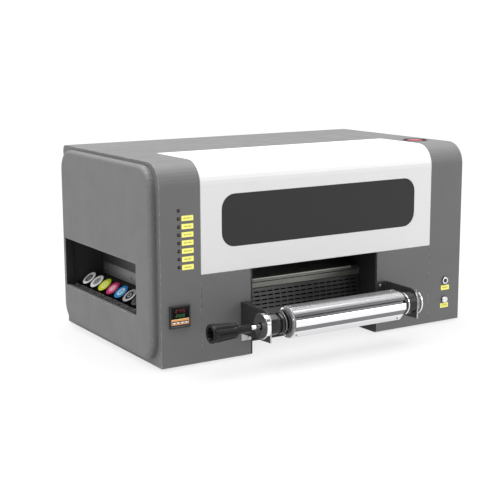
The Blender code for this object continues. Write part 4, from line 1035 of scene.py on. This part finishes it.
def camera():
    """The photo's camera: heading, drop and roll in degrees."""
    heading, drop, roll = (math.radians(v) for v in (CAMERA_HEADING, CAMERA_DROP, CAMERA_ROLL))
    ahead = Vector((math.sin(heading) * math.cos(drop), math.cos(heading) * math.cos(drop), -math.sin(drop)))
    right = ahead.cross(Vector(TOP)).normalized()
    up = right.cross(ahead)
    turned_right = right * math.cos(roll) + up * math.sin(roll)
    turned_up = up * math.cos(roll) - right * math.sin(roll)
    data = bpy.data.cameras.new("camera")
    data.lens = CAMERA_LENS
    data.sensor_width = 36.0
    data.clip_start = 0.05
    data.clip_end = 100.0
    shooter = bpy.data.objects.new("camera", data)
    axes = Matrix((turned_right, turned_up, -ahead)).transposed()
    shooter.matrix_world = Matrix.Translation(CAMERA_POSITION) @ axes.to_4x4()
    bpy.context.scene.collection.objects.link(shooter)
    bpy.context.scene.camera = shooter


def softbox(name, position, size, watts, target=(0.0, 0.05, 0.22)):
    """A rectangular lamp that faces a target."""
    data = bpy.data.lights.new(name, "AREA")
    data.shape = "RECTANGLE"
    data.size, data.size_y = size
    data.energy = watts
    lamp = bpy.data.objects.new(name, data)
    lamp.location = position
    lamp.rotation_mode = "QUATERNION"
    lamp.rotation_quaternion = (Vector(target) - Vector(position)).to_track_quat("-Z", "Y")
    bpy.context.scene.collection.objects.link(lamp)


def studio():
    """Bright surround, overhead sun, three soft panels and a wide floor."""
    scene = bpy.context.scene
    scene.view_settings.view_transform = "Standard"
    world = bpy.data.worlds.new("studio")
    world.use_nodes = True
    tree = world.node_tree
    background = tree.nodes["Background"]
    where = tree.nodes.new("ShaderNodeTexCoord")
    split = tree.nodes.new("ShaderNodeSeparateXYZ")
    tree.links.new(where.outputs["Generated"], split.inputs[0])
    ramp = tree.nodes.new("ShaderNodeMapRange")
    ramp.interpolation_type = "SMOOTHSTEP"
    for key, value in zip(("From Min", "From Max", "To Min", "To Max"), SKY_BAND + SKY_STRENGTH):
        ramp.inputs[key].default_value = value
    tree.links.new(split.outputs["Z"], ramp.inputs["Value"])
    tree.links.new(ramp.outputs["Result"], background.inputs["Strength"])
    background.inputs["Color"].default_value = (1.0, 1.0, 1.0, 1.0)
    scene.world = world
    sky = bpy.data.lights.new("overhead", "SUN")
    sky.energy = SUN_STRENGTH
    sky.angle = math.radians(SUN_SPREAD)
    above = bpy.data.objects.new("overhead", sky)
    above.rotation_euler = (*(math.radians(tilt) for tilt in SUN_TILT), 0.0)
    scene.collection.objects.link(above)
    softbox("left_panel", (-3.2, -0.6, 1.5), (1.6, 1.8), 15.0)
    softbox("front_panel", (2.3, -2.4, 1.6), (1.8, 1.2), 22.0)
    softbox("high_panel", (1.8, -0.6, 2.7), (1.7, 4.2), 25.0, target=(0.0, -0.25, 0.1))

    ground = bmesh.new()
    previous = [ground.verts.new((0, 0, 0))]
    for ring in range(1, FLOOR_RINGS + 1):
        radius = FLOOR_STEP * FLOOR_GROWTH ** ring
        current = [ground.verts.new((*polar(radius, 360 * k / FLOOR_SIDES), 0)) for k in range(FLOOR_SIDES)]
        bridge(ground, current, previous)
        previous = current
    mesh = bpy.data.meshes.new("studio_floor")
    ground.to_mesh(mesh)
    ground.free()
    mesh.materials.append(FLOOR)
    floor = bpy.data.objects.new("studio_floor", mesh)
    scene.collection.objects.link(floor)


camera()
studio()
dress_nodes()
indicator_lamps()
labels()
controller_face()
keys()
push_buttons()
emergency_stop()
ink_caps()
ink_bay()
apron()
throat_details()
knob()
mandrel()
leaves()
bearings()
brackets()
rear_details()
underside()
engine_details()
